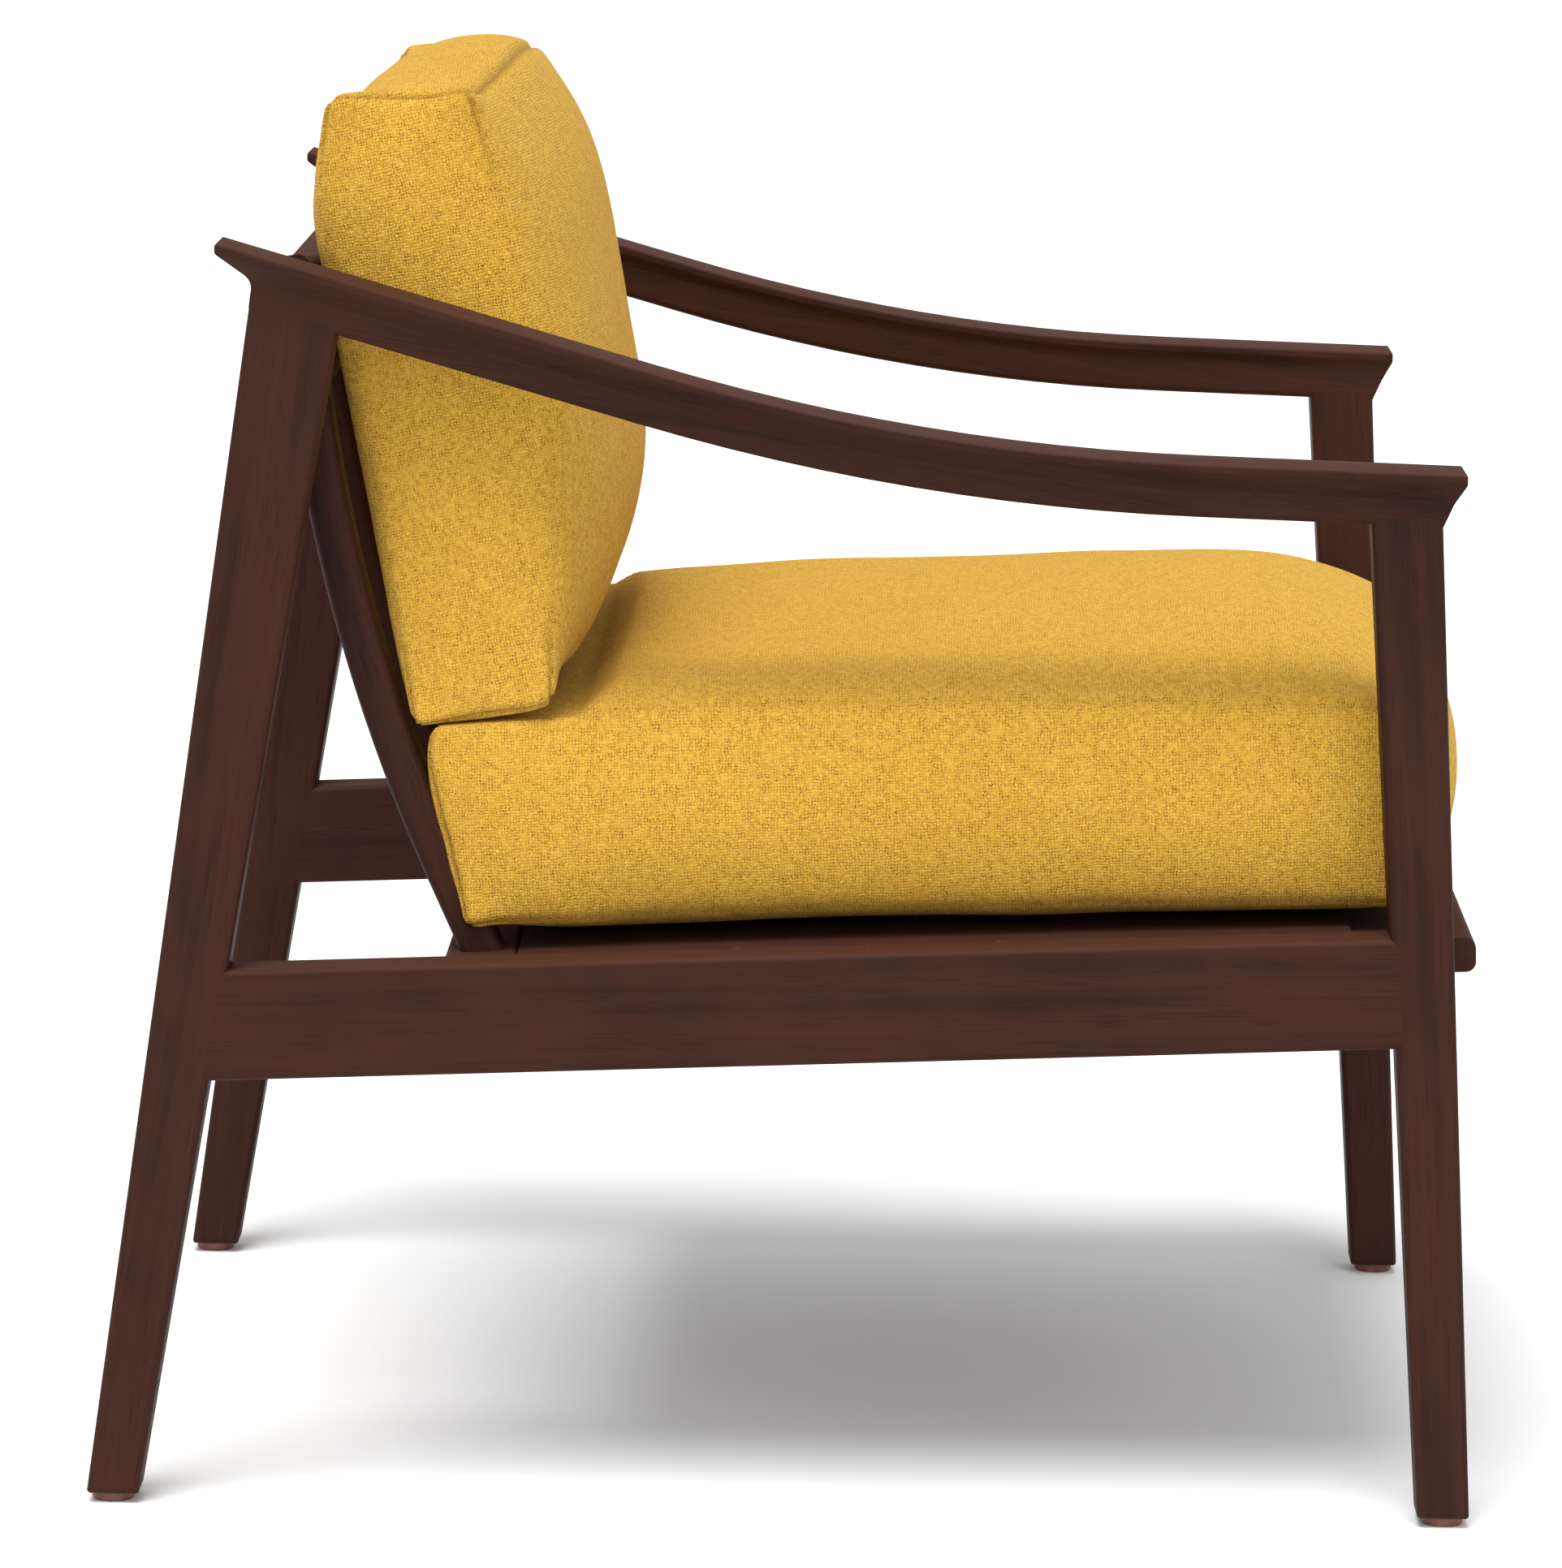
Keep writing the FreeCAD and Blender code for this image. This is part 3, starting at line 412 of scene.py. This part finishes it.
def stained_wood(name, turn, offset):
    """Dark stained hardwood with a satin finish; turn brings the grain along the piece."""
    # edge_share is the painted highlight on sharp edges, top_share the painted light on upward faces
    edge_share, top_share, patch_roughness, top_roughness = 0.4, 0.7, (0.1, 0.2), 0.15
    material, g, shader = new_material(name)
    source = g.add("ShaderNodeTexCoord")
    coordinates = source.outputs["Object"]
    lined_up = g.add("ShaderNodeMapping", {"Vector": coordinates, "Rotation": turn,
                                           "Location": offset})
    look = use_group(g, grain, Vector=lined_up.outputs["Vector"], Base=wood_base, Dark=wood_dark,
                     Light=wood_light)
    mottle_and_light_masks = use_group(g, mottle_and_painted_light, Vector=coordinates, Facing=source.outputs["Normal"], Scale=9.0)
    # Painted highlight on sharp outer edges, in the grain's light colour
    color = g.mix(g.times(mottle_and_light_masks["Edge"], edge_share), look["Color"], wood_light)
    # Painted light: faces that look up are lightened
    color = g.mix(g.times(mottle_and_light_masks["Top"], top_share), color, wood_painted_top_light)
    g.put(shader.inputs["Base Color"], color)
    rough = g.plus(look["Roughness"], g.spread(mottle_and_light_masks["Patch"], *patch_roughness))
    g.put(shader.inputs["Roughness"], g.plus(rough, g.times(mottle_and_light_masks["Top"], top_roughness)))
    g.put(shader.inputs["Normal"], bump(g, look["Height"], strength=0.22, distance=0.0004))
    shader.inputs["Specular IOR Level"].default_value = 0.12
    return material


def mustard_weave(name, turn):
    """Chunky woven upholstery; turn lines the weave up with the cushion."""
    # hole_share and seam_share say how much painted shade goes into the weave's holes and the seams
    faded_share, hole_share, seam_share = 0.18, 0.8, 0.5
    material, g, shader = new_material(name)
    coordinates = g.add("ShaderNodeTexCoord")
    place = g.add("ShaderNodeMapping", {"Vector": coordinates.outputs["Object"], "Rotation": turn})
    facing = g.add("ShaderNodeMapping", {"Vector": coordinates.outputs["Normal"], "Rotation": turn})
    yarns = use_group(g, weave, Vector=place.outputs["Vector"], Facing=facing.outputs["Vector"],
                      Pitch=yarn_pitch)
    seam = g.add("ShaderNodeAttribute", attribute_name="seam").outputs["Fac"]
    broad = g.noise(coordinates.outputs["Object"], 7.0, detail=3.0, roughness=0.6)
    color = g.mix(g.ramp(yarns["Slub"], 0.25, 0.62), yarn_plain, yarn_bright)
    color = g.mix(g.times(g.ramp(broad, 0.4, 0.75), faded_share), color, yarn_plain)
    # Painted shade in the holes between the yarns
    color = g.mix(g.times(yarns["Hole"], hole_share), color, weave_painted_shade)
    # Painted shade in the grooves of the seams
    color = g.mix(g.times(seam, seam_share), color, weave_painted_shade)
    g.put(shader.inputs["Base Color"], color)
    g.put(shader.inputs["Roughness"], g.spread(yarns["Slub"], 0.82, 0.95))
    g.put(shader.inputs["Normal"], bump(g, yarns["Height"], strength=0.75, distance=0.0011))
    shader.inputs["Sheen Weight"].default_value = 0.12
    shader.inputs["Sheen Roughness"].default_value = 0.45
    shader.inputs["Sheen Tint"].default_value = fabric_sheen
    shader.inputs["Specular IOR Level"].default_value = 0.1
    return material


def moulded_plastic():
    """Brown glides with a fine grit and a little mottling."""
    material, g, shader = new_material("glide plastic")
    place = g.add("ShaderNodeTexCoord").outputs["Object"]
    mottle_and_light_masks = use_group(g, mottle_and_painted_light, Vector=place, Scale=160.0)
    grit = g.noise(place, 1800.0, detail=2.0)
    g.put(shader.inputs["Base Color"], g.mix(g.ramp(mottle_and_light_masks["Patch"], 0.35, 0.7), glide_dark,
                                             glide_light))
    g.put(shader.inputs["Roughness"], g.spread(mottle_and_light_masks["Patch"], 0.42, 0.62))
    g.put(shader.inputs["Normal"], bump(g, grit, strength=0.25, distance=0.0002))
    return material


def plain_steel():
    """Screw and nail steel with fine scratches one way."""
    scratch_scale = (4000.0, 400.0, 400.0)
    material, g, shader = new_material("screw steel")
    place = g.add("ShaderNodeTexCoord").outputs["Object"]
    mottle_and_light_masks = use_group(g, mottle_and_painted_light, Vector=place, Scale=300.0)
    scratches = g.noise(g.stretch(place, scratch_scale), 1.0, detail=1.0)
    g.put(shader.inputs["Base Color"], g.mix(mottle_and_light_masks["Patch"], steel_dark, steel_light))
    g.put(shader.inputs["Roughness"], g.spread(mottle_and_light_masks["Patch"], 0.28, 0.5))
    g.put(shader.inputs["Normal"], bump(g, scratches, strength=0.12, distance=0.0002))
    shader.inputs["Metallic"].default_value = 1.0
    return material


def bare_wood():
    """Dowels, with no stain or finish on them."""
    material, g, shader = new_material("dowel beech")
    place = g.add("ShaderNodeTexCoord").outputs["Object"]
    look = use_group(g, grain, Vector=place, Base=beech_base, Dark=beech_dark, Light=beech_light)
    g.put(shader.inputs["Base Color"], look["Color"])
    g.put(shader.inputs["Roughness"], g.plus(look["Roughness"], 0.25))
    g.put(shader.inputs["Normal"], bump(g, look["Height"], strength=0.3, distance=0.0004))
    return material


def fill_material(name, light, dark, scale):
    """Foam or fibre inside a cushion."""
    material, g, shader = new_material(name)
    place = g.add("ShaderNodeTexCoord").outputs["Object"]
    cells = g.noise(place, scale, detail=3.0, roughness=0.7)
    g.put(shader.inputs["Base Color"], g.mix(g.ramp(cells, 0.35, 0.65), dark, light))
    g.put(shader.inputs["Roughness"], g.spread(cells, 0.85, 1.0))
    g.put(shader.inputs["Normal"], bump(g, cells, strength=0.5, distance=0.001))
    return material


def dress(node_name, material):
    """Give a CAD node its finish."""
    piece = nodes[node_name]
    piece.data.materials.clear()
    piece.data.materials.append(material)
    for polygon in piece.data.polygons:
        polygon.material_index = 0


def long_axis(node_name):
    """Unit vector along a node's length."""
    points = np.array([vertex.co for vertex in nodes[node_name].data.vertices])
    spread = np.cov((points - points.mean(axis=0)).T)
    return Vector(np.linalg.eigh(spread)[1][:, -1])


def dress_frame():
    """Wood with its grain along each piece, plastic glides and steel fastenings."""
    next_board = Vector((0.37, 0.19, 0.53))     # each piece is cut from another place in the wood
    fibre = fill_material("fibre wrap", fibre_light, fibre_dark, 240.0)
    by_slot = {"glide_plastic": moulded_plastic(), "fastener_steel": plain_steel(),
               "dowel_wood": bare_wood(), "wrap_fibre": fibre, "cover_fabric": fibre,
               "core_foam": fill_material("foam", foam_light, foam_dark, 900.0)}
    for index, part in enumerate(sorted(frame["record"]["subparts"], key=lambda row: row["node"])):
        name = part["node"]
        if part["material_slot"] in by_slot:
            dress(name, by_slot[part["material_slot"]])
        else:
            turn = Vector((0, 0, 1)).rotation_difference(long_axis(name)).inverted().to_euler()
            wood_name = "wood of " + name.replace("_", " ")
            dress(name, stained_wood(wood_name, turn, next_board * index))


# ---- Cushions -----------------------------------------------------------------------------------

# Outlines of a cushion's section, in millimetres, as (forward, up) from the rearmost and lowest
# lines of its cover. "side" is the boxing's outline, "middle" the crowned one.
seat_outlines = {
    "side": {
        "bottom": [(24, 16), (74, 14), (219, 14), (406, 12), (549, 11), (574, 18)],
        "top": [(11, 131), (35, 140), (223, 145), (455, 137), (545, 130), (574, 119)],
        "rear": [(24, 16), (12, 44), (3, 82), (1, 112), (11, 131)],
        "front": [(574, 18), (582, 45), (584, 72), (580, 100), (574, 119)],
    },
    "middle": {
        "bottom": [(22, 7), (60, 0), (219, 0), (406, 0), (540, 0), (586, 8)],
        "top": [(11, 132), (60, 135), (100, 144), (130, 149), (170, 152), (240, 154), (322, 158),
                (428, 166), (512, 167), (560, 160), (592, 138)],
        "rear": [(22, 7), (5, 40), (1, 80), (1, 112), (11, 132)],
        "front": [(586, 8), (604, 36), (612, 72), (609, 108), (592, 138)],
    },
}
back_outlines = {
    "side": {
        "rear": [(2, 12), (0, 60), (0, 150), (0, 240), (1, 290), (7, 328), (16, 348), (30, 365)],
        "front": [(84, 12), (88, 30), (100, 70), (112, 120), (119, 165), (121, 210), (117, 270),
                  (110, 320), (104, 356)],
        "bottom": [(2, 12), (12, 6), (32, 3), (52, 3), (70, 5), (84, 12)],
        "top": [(30, 365), (46, 368), (68, 366), (90, 361), (104, 356)],
    },
    "middle": {
        "rear": [(2, 12), (0, 60), (0, 150), (0, 240), (1, 300), (8, 335), (18, 354)],
        "front": [(100, 12), (120, 30), (135, 50), (142, 66), (147, 85), (149, 110), (148, 142),
                  (147, 186), (148, 230), (149, 273), (149, 312), (145, 345), (131, 369)],
        "bottom": [(2, 12), (30, 4), (55, 4), (80, 6), (98, 12)],
        "top": [(18, 354), (39, 370), (61, 378), (85, 382), (108, 380), (131, 369)],
    },
}


def smooth_curve(points, count):
    """Even steps along a smooth curve through the given points, in metres."""
    given = np.array(points, float) / 1000.0
    padded = np.vstack([2 * given[0] - given[1], given, 2 * given[-1] - given[-2]])
    fine = []
    for index in range(len(given) - 1):
        before, here, there, after = padded[index:index + 4]
        for t in np.linspace(0.0, 1.0, curve_steps, endpoint=False):
            fine.append(0.5 * (2 * here + (there - before) * t
                               + (2 * before - 5 * here + 4 * there - after) * t ** 2
                               + (3 * here - before - 3 * there + after) * t ** 3))
    fine = np.array(fine + [given[-1]])
    run = np.concatenate([[0.0], np.cumsum(np.linalg.norm(np.diff(fine, axis=0), axis=1))])
    steps = np.linspace(0.0, run[-1], count + 1)
    return np.column_stack([np.interp(steps, run, fine[:, axis]) for axis in (0, 1)])


def curve_length(points):
    return np.linalg.norm(np.diff(smooth_curve(points, 60), axis=0), axis=1).sum()


def filled_section(low, high, first, last):
    """Grid of points inside four joined curves: two long ones, and two short ones between them."""
    u = np.linspace(0.0, 1.0, len(low))[:, None, None]
    v = np.linspace(0.0, 1.0, len(first))[None, :, None]
    across = (1 - v) * low[:, None, :] + v * high[:, None, :]
    along = (1 - u) * first[None, :, :] + u * last[None, :, :]
    corners = ((1 - u) * (1 - v) * low[0] + u * (1 - v) * low[-1] + (1 - u) * v * high[0]
               + u * v * high[-1])
    return across + along - corners


class StuffedBox:
    """A boxed cushion as a closed grid of points, with its distance to the nearest seams."""

    def __init__(self, outlines, names, half_width, crown):
        """names: the long edges (low, high) and the short ones (first, last) of the section."""
        side = outlines["side"]
        self.sizes = (curve_length(side[names[0]]), curve_length(side[names[2]]), 2 * half_width)
        self.counts = tuple(round(size / grid_size) for size in self.sizes)
        nl, ns, nx = self.counts
        steps = (nl, nl, ns, ns)
        sections = {
            kind: filled_section(*(smooth_curve(curves[name], count)
                                   for name, count in zip(names, steps)))
            for kind, curves in outlines.items()}
        share = np.linspace(-1.0, 1.0, nx + 1)
        rise = crown * (1.0 - np.abs(share) ** crown_flat_power) ** crown_round_power
        along = np.sin(np.pi * np.linspace(0.0, 1.0, nl + 1))
        upward = np.sin(np.pi * np.linspace(0.0, 1.0, ns + 1))
        self.index = {}
        points = []
        for k in range(nx + 1):
            section = sections["side"] + (sections["middle"] - sections["side"]) * rise[k]
            for i in range(nl + 1):
                for j in range(ns + 1):
                    if i in (0, nl) or j in (0, ns) or k in (0, nx):
                        inset = side_inset * along[i] ** side_inset_power
                        x = share[k] * (half_width - inset)
                        if k in (0, nx):
                            swell = (along[i] * upward[j]) ** side_bulge_power
                            x += share[k] * side_bulge * swell
                        self.index[(i, j, k)] = len(points)
                        points.append((x, section[i, j, 0], section[i, j, 1]))
        self.points = np.array(points)
        self.cells = np.array(list(self.index))

    def faces(self):
        """Quads of the six sides, each pair with one side facing the other way."""
        nl, ns, nx = self.counts
        found = []
        sides = [((i, j, 0), (i, j + 1, 0), (i + 1, j + 1, 0), (i + 1, j, 0))
                 for i in range(nl) for j in range(ns)]
        floors = [((i, 0, k), (i + 1, 0, k), (i + 1, 0, k + 1), (i, 0, k + 1))
                  for i in range(nl) for k in range(nx)]
        ends = [((0, j, k), (0, j, k + 1), (0, j + 1, k + 1), (0, j + 1, k))
                for j in range(ns) for k in range(nx)]
        for group, axis, last in ((sides, 2, nx), (floors, 1, ns), (ends, 0, nl)):
            for quad in group:
                found.append([self.index[cell] for cell in quad])
                moved = [tuple(last if place == axis else value for place, value in enumerate(cell))
                         for cell in reversed(quad)]
                found.append([self.index[cell] for cell in moved])
        return found

    def edge_distances(self):
        """Distance of each point from the box's first and last line, along its three ways."""
        steps = [size / count for size, count in zip(self.sizes, self.counts)]
        near = [self.cells[:, axis] * steps[axis] for axis in range(3)]
        far = [(self.counts[axis] - self.cells[:, axis]) * steps[axis] for axis in range(3)]
        return near, far


def faces_point_out(mesh):
    middle = sum((vertex.co for vertex in mesh.vertices), Vector()) / len(mesh.vertices)
    return sum(face.normal.dot(face.center - middle) for face in mesh.polygons) > 0


def bake_modifiers(piece):
    """Replace a piece's mesh by what its modifiers make of it."""
    graph = bpy.context.evaluated_depsgraph_get()
    mesh = bpy.data.meshes.new_from_object(piece.evaluated_get(graph))
    piece.modifiers.clear()
    piece.data = mesh


def coordinates_of(piece):
    flat = np.zeros(len(piece.data.vertices) * 3)
    piece.data.vertices.foreach_get("co", flat)
    return flat.reshape(-1, 3)


def set_coordinates(piece, points):
    piece.data.vertices.foreach_set("co", points.ravel())
    piece.data.update()


def normals_of(piece):
    flat = np.zeros(len(piece.data.vertices) * 3)
    piece.data.vertices.foreach_get("normal", flat)
    return flat.reshape(-1, 3)


def smooth_step(values, low, high):
    share = np.clip((values - low) / (high - low), 0.0, 1.0)
    return share * share * (3.0 - 2.0 * share)


def relax(piece, rounds, share=None):
    """Smooth a piece's mesh, by a share of the full amount at each vertex."""
    modifier = piece.modifiers.new("relax", "SMOOTH")
    modifier.factor = 0.5
    modifier.iterations = rounds
    if share is not None:
        group = piece.vertex_groups.new(name="softness")
        for index, weight in enumerate(share):
            group.add([index], float(weight), "REPLACE")
        modifier.vertex_group = group.name
    bake_modifiers(piece)
    piece.vertex_groups.clear()


def subdivide(piece):
    modifier = piece.modifiers.new("subdivide", "SUBSURF")
    modifier.levels = 1
    modifier.render_levels = 1
    bake_modifiers(piece)


def store(piece, name, values):
    """Keep one number per vertex on the mesh, so that it survives subdivision."""
    attribute = piece.data.attributes.get(name) or piece.data.attributes.new(name, "FLOAT", "POINT")
    attribute.data.foreach_set("value", np.asarray(values, np.float32))


def read(piece, name):
    values = np.zeros(len(piece.data.vertices), np.float32)
    piece.data.attributes[name].data.foreach_get("value", values)
    return values


def inflate(piece, held):
    """Cloth simulation with air pressure inside; held is how firmly each vertex stays put."""
    group = piece.vertex_groups.new(name="held")
    for index, weight in enumerate(held):
        group.add([index], float(weight), "REPLACE")
    modifier = piece.modifiers.new("cloth", "CLOTH")
    settings = modifier.settings
    settings.quality = 4
    settings.use_pressure = True
    settings.uniform_pressure_force = cloth_pressure
    settings.vertex_group_mass = "held"
    settings.effector_weights.gravity = 0.0
    modifier.collision_settings.use_collision = False
    modifier.collision_settings.use_self_collision = False
    modifier.point_cache.frame_start = 1
    modifier.point_cache.frame_end = cloth_frames
    scene = bpy.context.scene
    for number in range(1, cloth_frames + 1):
        scene.frame_set(number)
    bake_modifiers(piece)
    scene.frame_set(1)


def capped(points, start, limit):
    """Hold each point within its own limit of where it started."""
    smallest = 1e-9                 # keeps the division safe where a point didn't move
    moved = points - start
    length = np.maximum(np.linalg.norm(moved, axis=1), smallest)
    return start + moved * (limit * np.tanh(length / limit) / length)[:, None]


def folds(points, normals, strength, scale, phase):
    """Shallow folds and gathers, as deep as strength says at each point."""
    start = Vector((phase, 0.0, phase))
    heights = np.array([noise.noise(Vector(point) * scale + start) for point in points])
    return points + normals * (heights * strength)[:, None]


def seam_strength_of(near, far):
    """Seams show plainly at a cushion's corners and along its short edges, and fade elsewhere."""
    from_end = np.minimum(near[0], far[0])
    return faint_seam + (1.0 - faint_seam) * np.exp(-(from_end / plain_seam_reach) ** 2)


def stuffed_cushion(name, box, place, limit_of, tidy, phase):
    """Build one cushion: its panels swell between the seams, and its corners are pinched."""
    mesh = bpy.data.meshes.new(name)
    mesh.from_pydata([tuple(place(point)) for point in box.points], [], box.faces())
    mesh.update()
    if not faces_point_out(mesh):
        mesh.flip_normals()
    piece = bpy.data.objects.new(name, mesh)
    bpy.context.scene.collection.objects.link(piece)

    # Distance to the nearest seam, and to the nearest corner
    near, far = box.edge_distances()
    ranked = np.sort(np.minimum(near, far).T, axis=1)
    seam = ranked[:, 1]
    corner = ranked[:, 1] + ranked[:, 2]

    relax(piece, first_rounds)
    relax(piece, edge_softness, np.exp(-seam / edge_reach) * smooth_step(corner, *sharp_corner))
    start = coordinates_of(piece)
    facing = normals_of(piece)
    inflate(piece, seam_hold * (1.0 - smooth_step(seam, 0.0, seam_grip)))
    set_coordinates(piece, capped(coordinates_of(piece), start, limit_of(facing)))
    relax(piece, last_rounds)

    points = coordinates_of(piece)
    normals = normals_of(piece)
    outward = points - points.mean(axis=0)
    outward /= np.abs(outward).max(axis=0)
    outward /= np.linalg.norm(outward, axis=1)[:, None]
    pinch = ear_length * np.exp(-(corner / ear_reach) ** 2)
    points = points + outward * pinch[:, None]
    gathers = pucker_height * np.exp(-seam / pucker_reach)
    points = folds(points, normals, gathers, gather_scale, phase)
    broad = fold_depth + corner_fold_depth * np.exp(-corner / corner_fold_reach)
    points = folds(points, normals, broad, fold_scale, phase + fold_phase_step)
    set_coordinates(piece, points)

    store(piece, "seam_distance", seam)
    store(piece, "seam_strength", seam_strength_of(near, far))
    subdivide(piece)
    depth = np.exp(-(read(piece, "seam_distance") / (0.5 * seam_width)) ** 2)
    depth *= read(piece, "seam_strength")
    points = coordinates_of(piece) - normals_of(piece) * (depth * seam_depth)[:, None]
    set_coordinates(piece, tidy(points))
    # The seam's depth, which the weave material turns into painted shade
    store(piece, "seam", depth)
    piece.data.shade_smooth()
    return piece


class CushionPlace:
    """Where a cushion lies: its own forward and up, from its cover's rearmost and lowest lines."""

    def __init__(self, name, forward, up):
        points = np.array([vertex.co for vertex in nodes[name + "_cover"].data.vertices])
        self.forward = np.array(forward)
        self.up = np.array(up)
        self.rear = (points @ self.forward).min()
        self.low = (points @ self.up).min()

    def place(self, point):
        across, ahead, height = point
        return (np.array((1.0, 0.0, 0.0)) * across + self.forward * (self.rear + ahead)
                + self.up * (self.low + height))

    def local(self, points):
        """How far ahead and how high points are."""
        return points @ self.forward - self.rear, points @ self.up - self.low

    def moved(self, points, forward_by=0.0, up_by=0.0):
        return points + np.outer(forward_by, self.forward) + np.outer(up_by, self.up)

    def swell_limits(self, ahead_limit, up_limit):
        """How far each point may swell, by where it faces."""
        def limit_of(facing):
            ahead = np.maximum(facing @ self.forward, 0.0) ** 2
            above = np.maximum(facing @ self.up, 0.0) ** 2
            return swell_everywhere + ahead_limit * ahead + up_limit * above
        return limit_of


def make_cushions():
    ways = {joint["name"]: joint["axis"] for joint in frame["joints"]}
    slide = ways["seat_cushion_slide"]
    lift = ways["back_cushion_lift"]
    seat_place = CushionPlace("seat_cushion", slide, (0, slide[2], -slide[1]))
    back_place = CushionPlace("back_cushion", (0, -lift[2], lift[1]), lift)
    half_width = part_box("seat_cushion_cover")[1].x
    crown = simulated_crown

    def between_cushions(ahead):
        """Height of the plane where the two cushions meet, over the deck."""
        return under_back_height + under_back_slope * ahead

    def rest_seat(points):
        """Keep the seat cushion over the deck, ahead of the uprights and under the back cushion."""
        ahead, height = seat_place.local(points)
        lifted = np.maximum(0.0, rest_gap - height)
        free = np.maximum(0.0, ahead - under_back_reach) * press_release
        pressed = np.maximum(0.0, height - (between_cushions(ahead) - rest_gap + free))
        pushed = np.maximum(0.0, rest_gap - ahead)
        return seat_place.moved(points, pushed, lifted - pressed)

    def rest_back(points):
        """Let the back cushion sag on one side, and keep it on the seat, ahead of the uprights."""
        height = back_place.local(points)[1]
        sag = (left_slump * smooth_step(points[:, 0], *slump_across)
               * smooth_step(height, *slump_height))
        points = back_place.moved(points, up_by=-sag)
        ahead, height = seat_place.local(points)
        lifted = np.maximum(0.0, between_cushions(ahead) + rest_gap - height)
        points = seat_place.moved(points, up_by=lifted)
        ahead = back_place.local(points)[0]
        return back_place.moved(points, np.maximum(0.0, rest_gap - ahead))

    seat_box = StuffedBox(seat_outlines, ("bottom", "top", "rear", "front"), half_width, crown)
    back_box = StuffedBox(back_outlines, ("rear", "front", "bottom", "top"), half_width, crown)
    seat = stuffed_cushion("seat_cushion", seat_box, seat_place.place,
                           seat_place.swell_limits(*seat_swell), rest_seat, seat_phase)
    back = stuffed_cushion("back_cushion", back_box, back_place.place,
                           back_place.swell_limits(*back_swell), rest_back, back_phase)
    turns = {"seat_cushion": math.atan2(slide[2], -slide[1]),
             "back_cushion": math.atan2(lift[1], lift[2])}
    for piece in (seat, back):
        body = piece.name
        weave_name = "mustard weave of " + body.replace("_", " ")
        piece.data.materials.append(mustard_weave(weave_name, (turns[body], 0.0, 0.0)))
        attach(piece, body)
        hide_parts(body + "_cover", body + "_wrap", body + "_core")


# ---- Studio -------------------------------------------------------------------------------------

def make_camera():
    data = bpy.data.cameras.new("camera")
    data.lens = camera_lens
    data.sensor_width = camera_sensor
    data.clip_end = camera_sight
    ahead = Vector((math.cos(camera_yaw) * math.cos(camera_pitch),
                    math.sin(camera_yaw) * math.cos(camera_pitch), -math.sin(camera_pitch)))
    level_right = ahead.cross(Vector((0, 0, 1))).normalized()
    level_up = level_right.cross(ahead)
    right = level_right * math.cos(camera_roll) + level_up * math.sin(camera_roll)
    up = level_up * math.cos(camera_roll) - level_right * math.sin(camera_roll)
    camera = bpy.data.objects.new("camera", data)
    turn = Matrix((right, up, -ahead)).transposed().to_4x4()
    camera.matrix_world = Matrix.Translation(camera_place) @ turn
    bpy.context.scene.collection.objects.link(camera)
    bpy.context.scene.camera = camera


def make_floor():
    material, g, shader = new_material("studio floor")
    place = g.add("ShaderNodeTexCoord").outputs["Object"]
    tone = g.noise(place, 1.3, detail=2.0)
    g.put(shader.inputs["Base Color"], g.mix(tone, floor_dark, floor_light))
    g.put(shader.inputs["Roughness"], g.spread(tone, 0.55, 0.7))
    shader.inputs["Specular IOR Level"].default_value = 0.15
    mesh = bpy.data.meshes.new("studio_floor")
    corners = [(floor_reach * x, floor_reach * y, 0)
               for x, y in ((-1, -1), (1, -1), (1, 1), (-1, 1))]
    mesh.from_pydata(corners, [], [(0, 1, 2, 3)])
    mesh.materials.append(material)
    floor = bpy.data.objects.new("studio_floor", mesh)
    bpy.context.scene.collection.objects.link(floor)


def soft_light(name, from_side, softness, strength):
    """Broad even light from a direction, with a soft edge to its shadow."""
    data = bpy.data.lights.new(name, "SUN")
    data.angle = softness
    data.energy = strength
    light = bpy.data.objects.new(name, data)
    light.rotation_mode = "QUATERNION"
    light.rotation_quaternion = Vector(from_side).to_track_quat("Z", "Y")
    bpy.context.scene.collection.objects.link(light)


def make_lights():
    world = bpy.data.worlds.new("studio")
    world.use_nodes = True
    sky = world.node_tree.nodes["Background"].inputs
    sky["Color"].default_value = (1.0, 1.0, 1.0, 1.0)
    sky["Strength"].default_value = sky_strength
    bpy.context.scene.world = world
    soft_light("overhead", overhead_from, overhead_softness, overhead_strength)
    soft_light("beside camera", side_from, side_softness, side_strength)
    bpy.context.scene.view_settings.view_transform = "Standard"


dress_frame()
make_cushions()
make_camera()
make_floor()
make_lights()

bpy.context.view_layer.update()
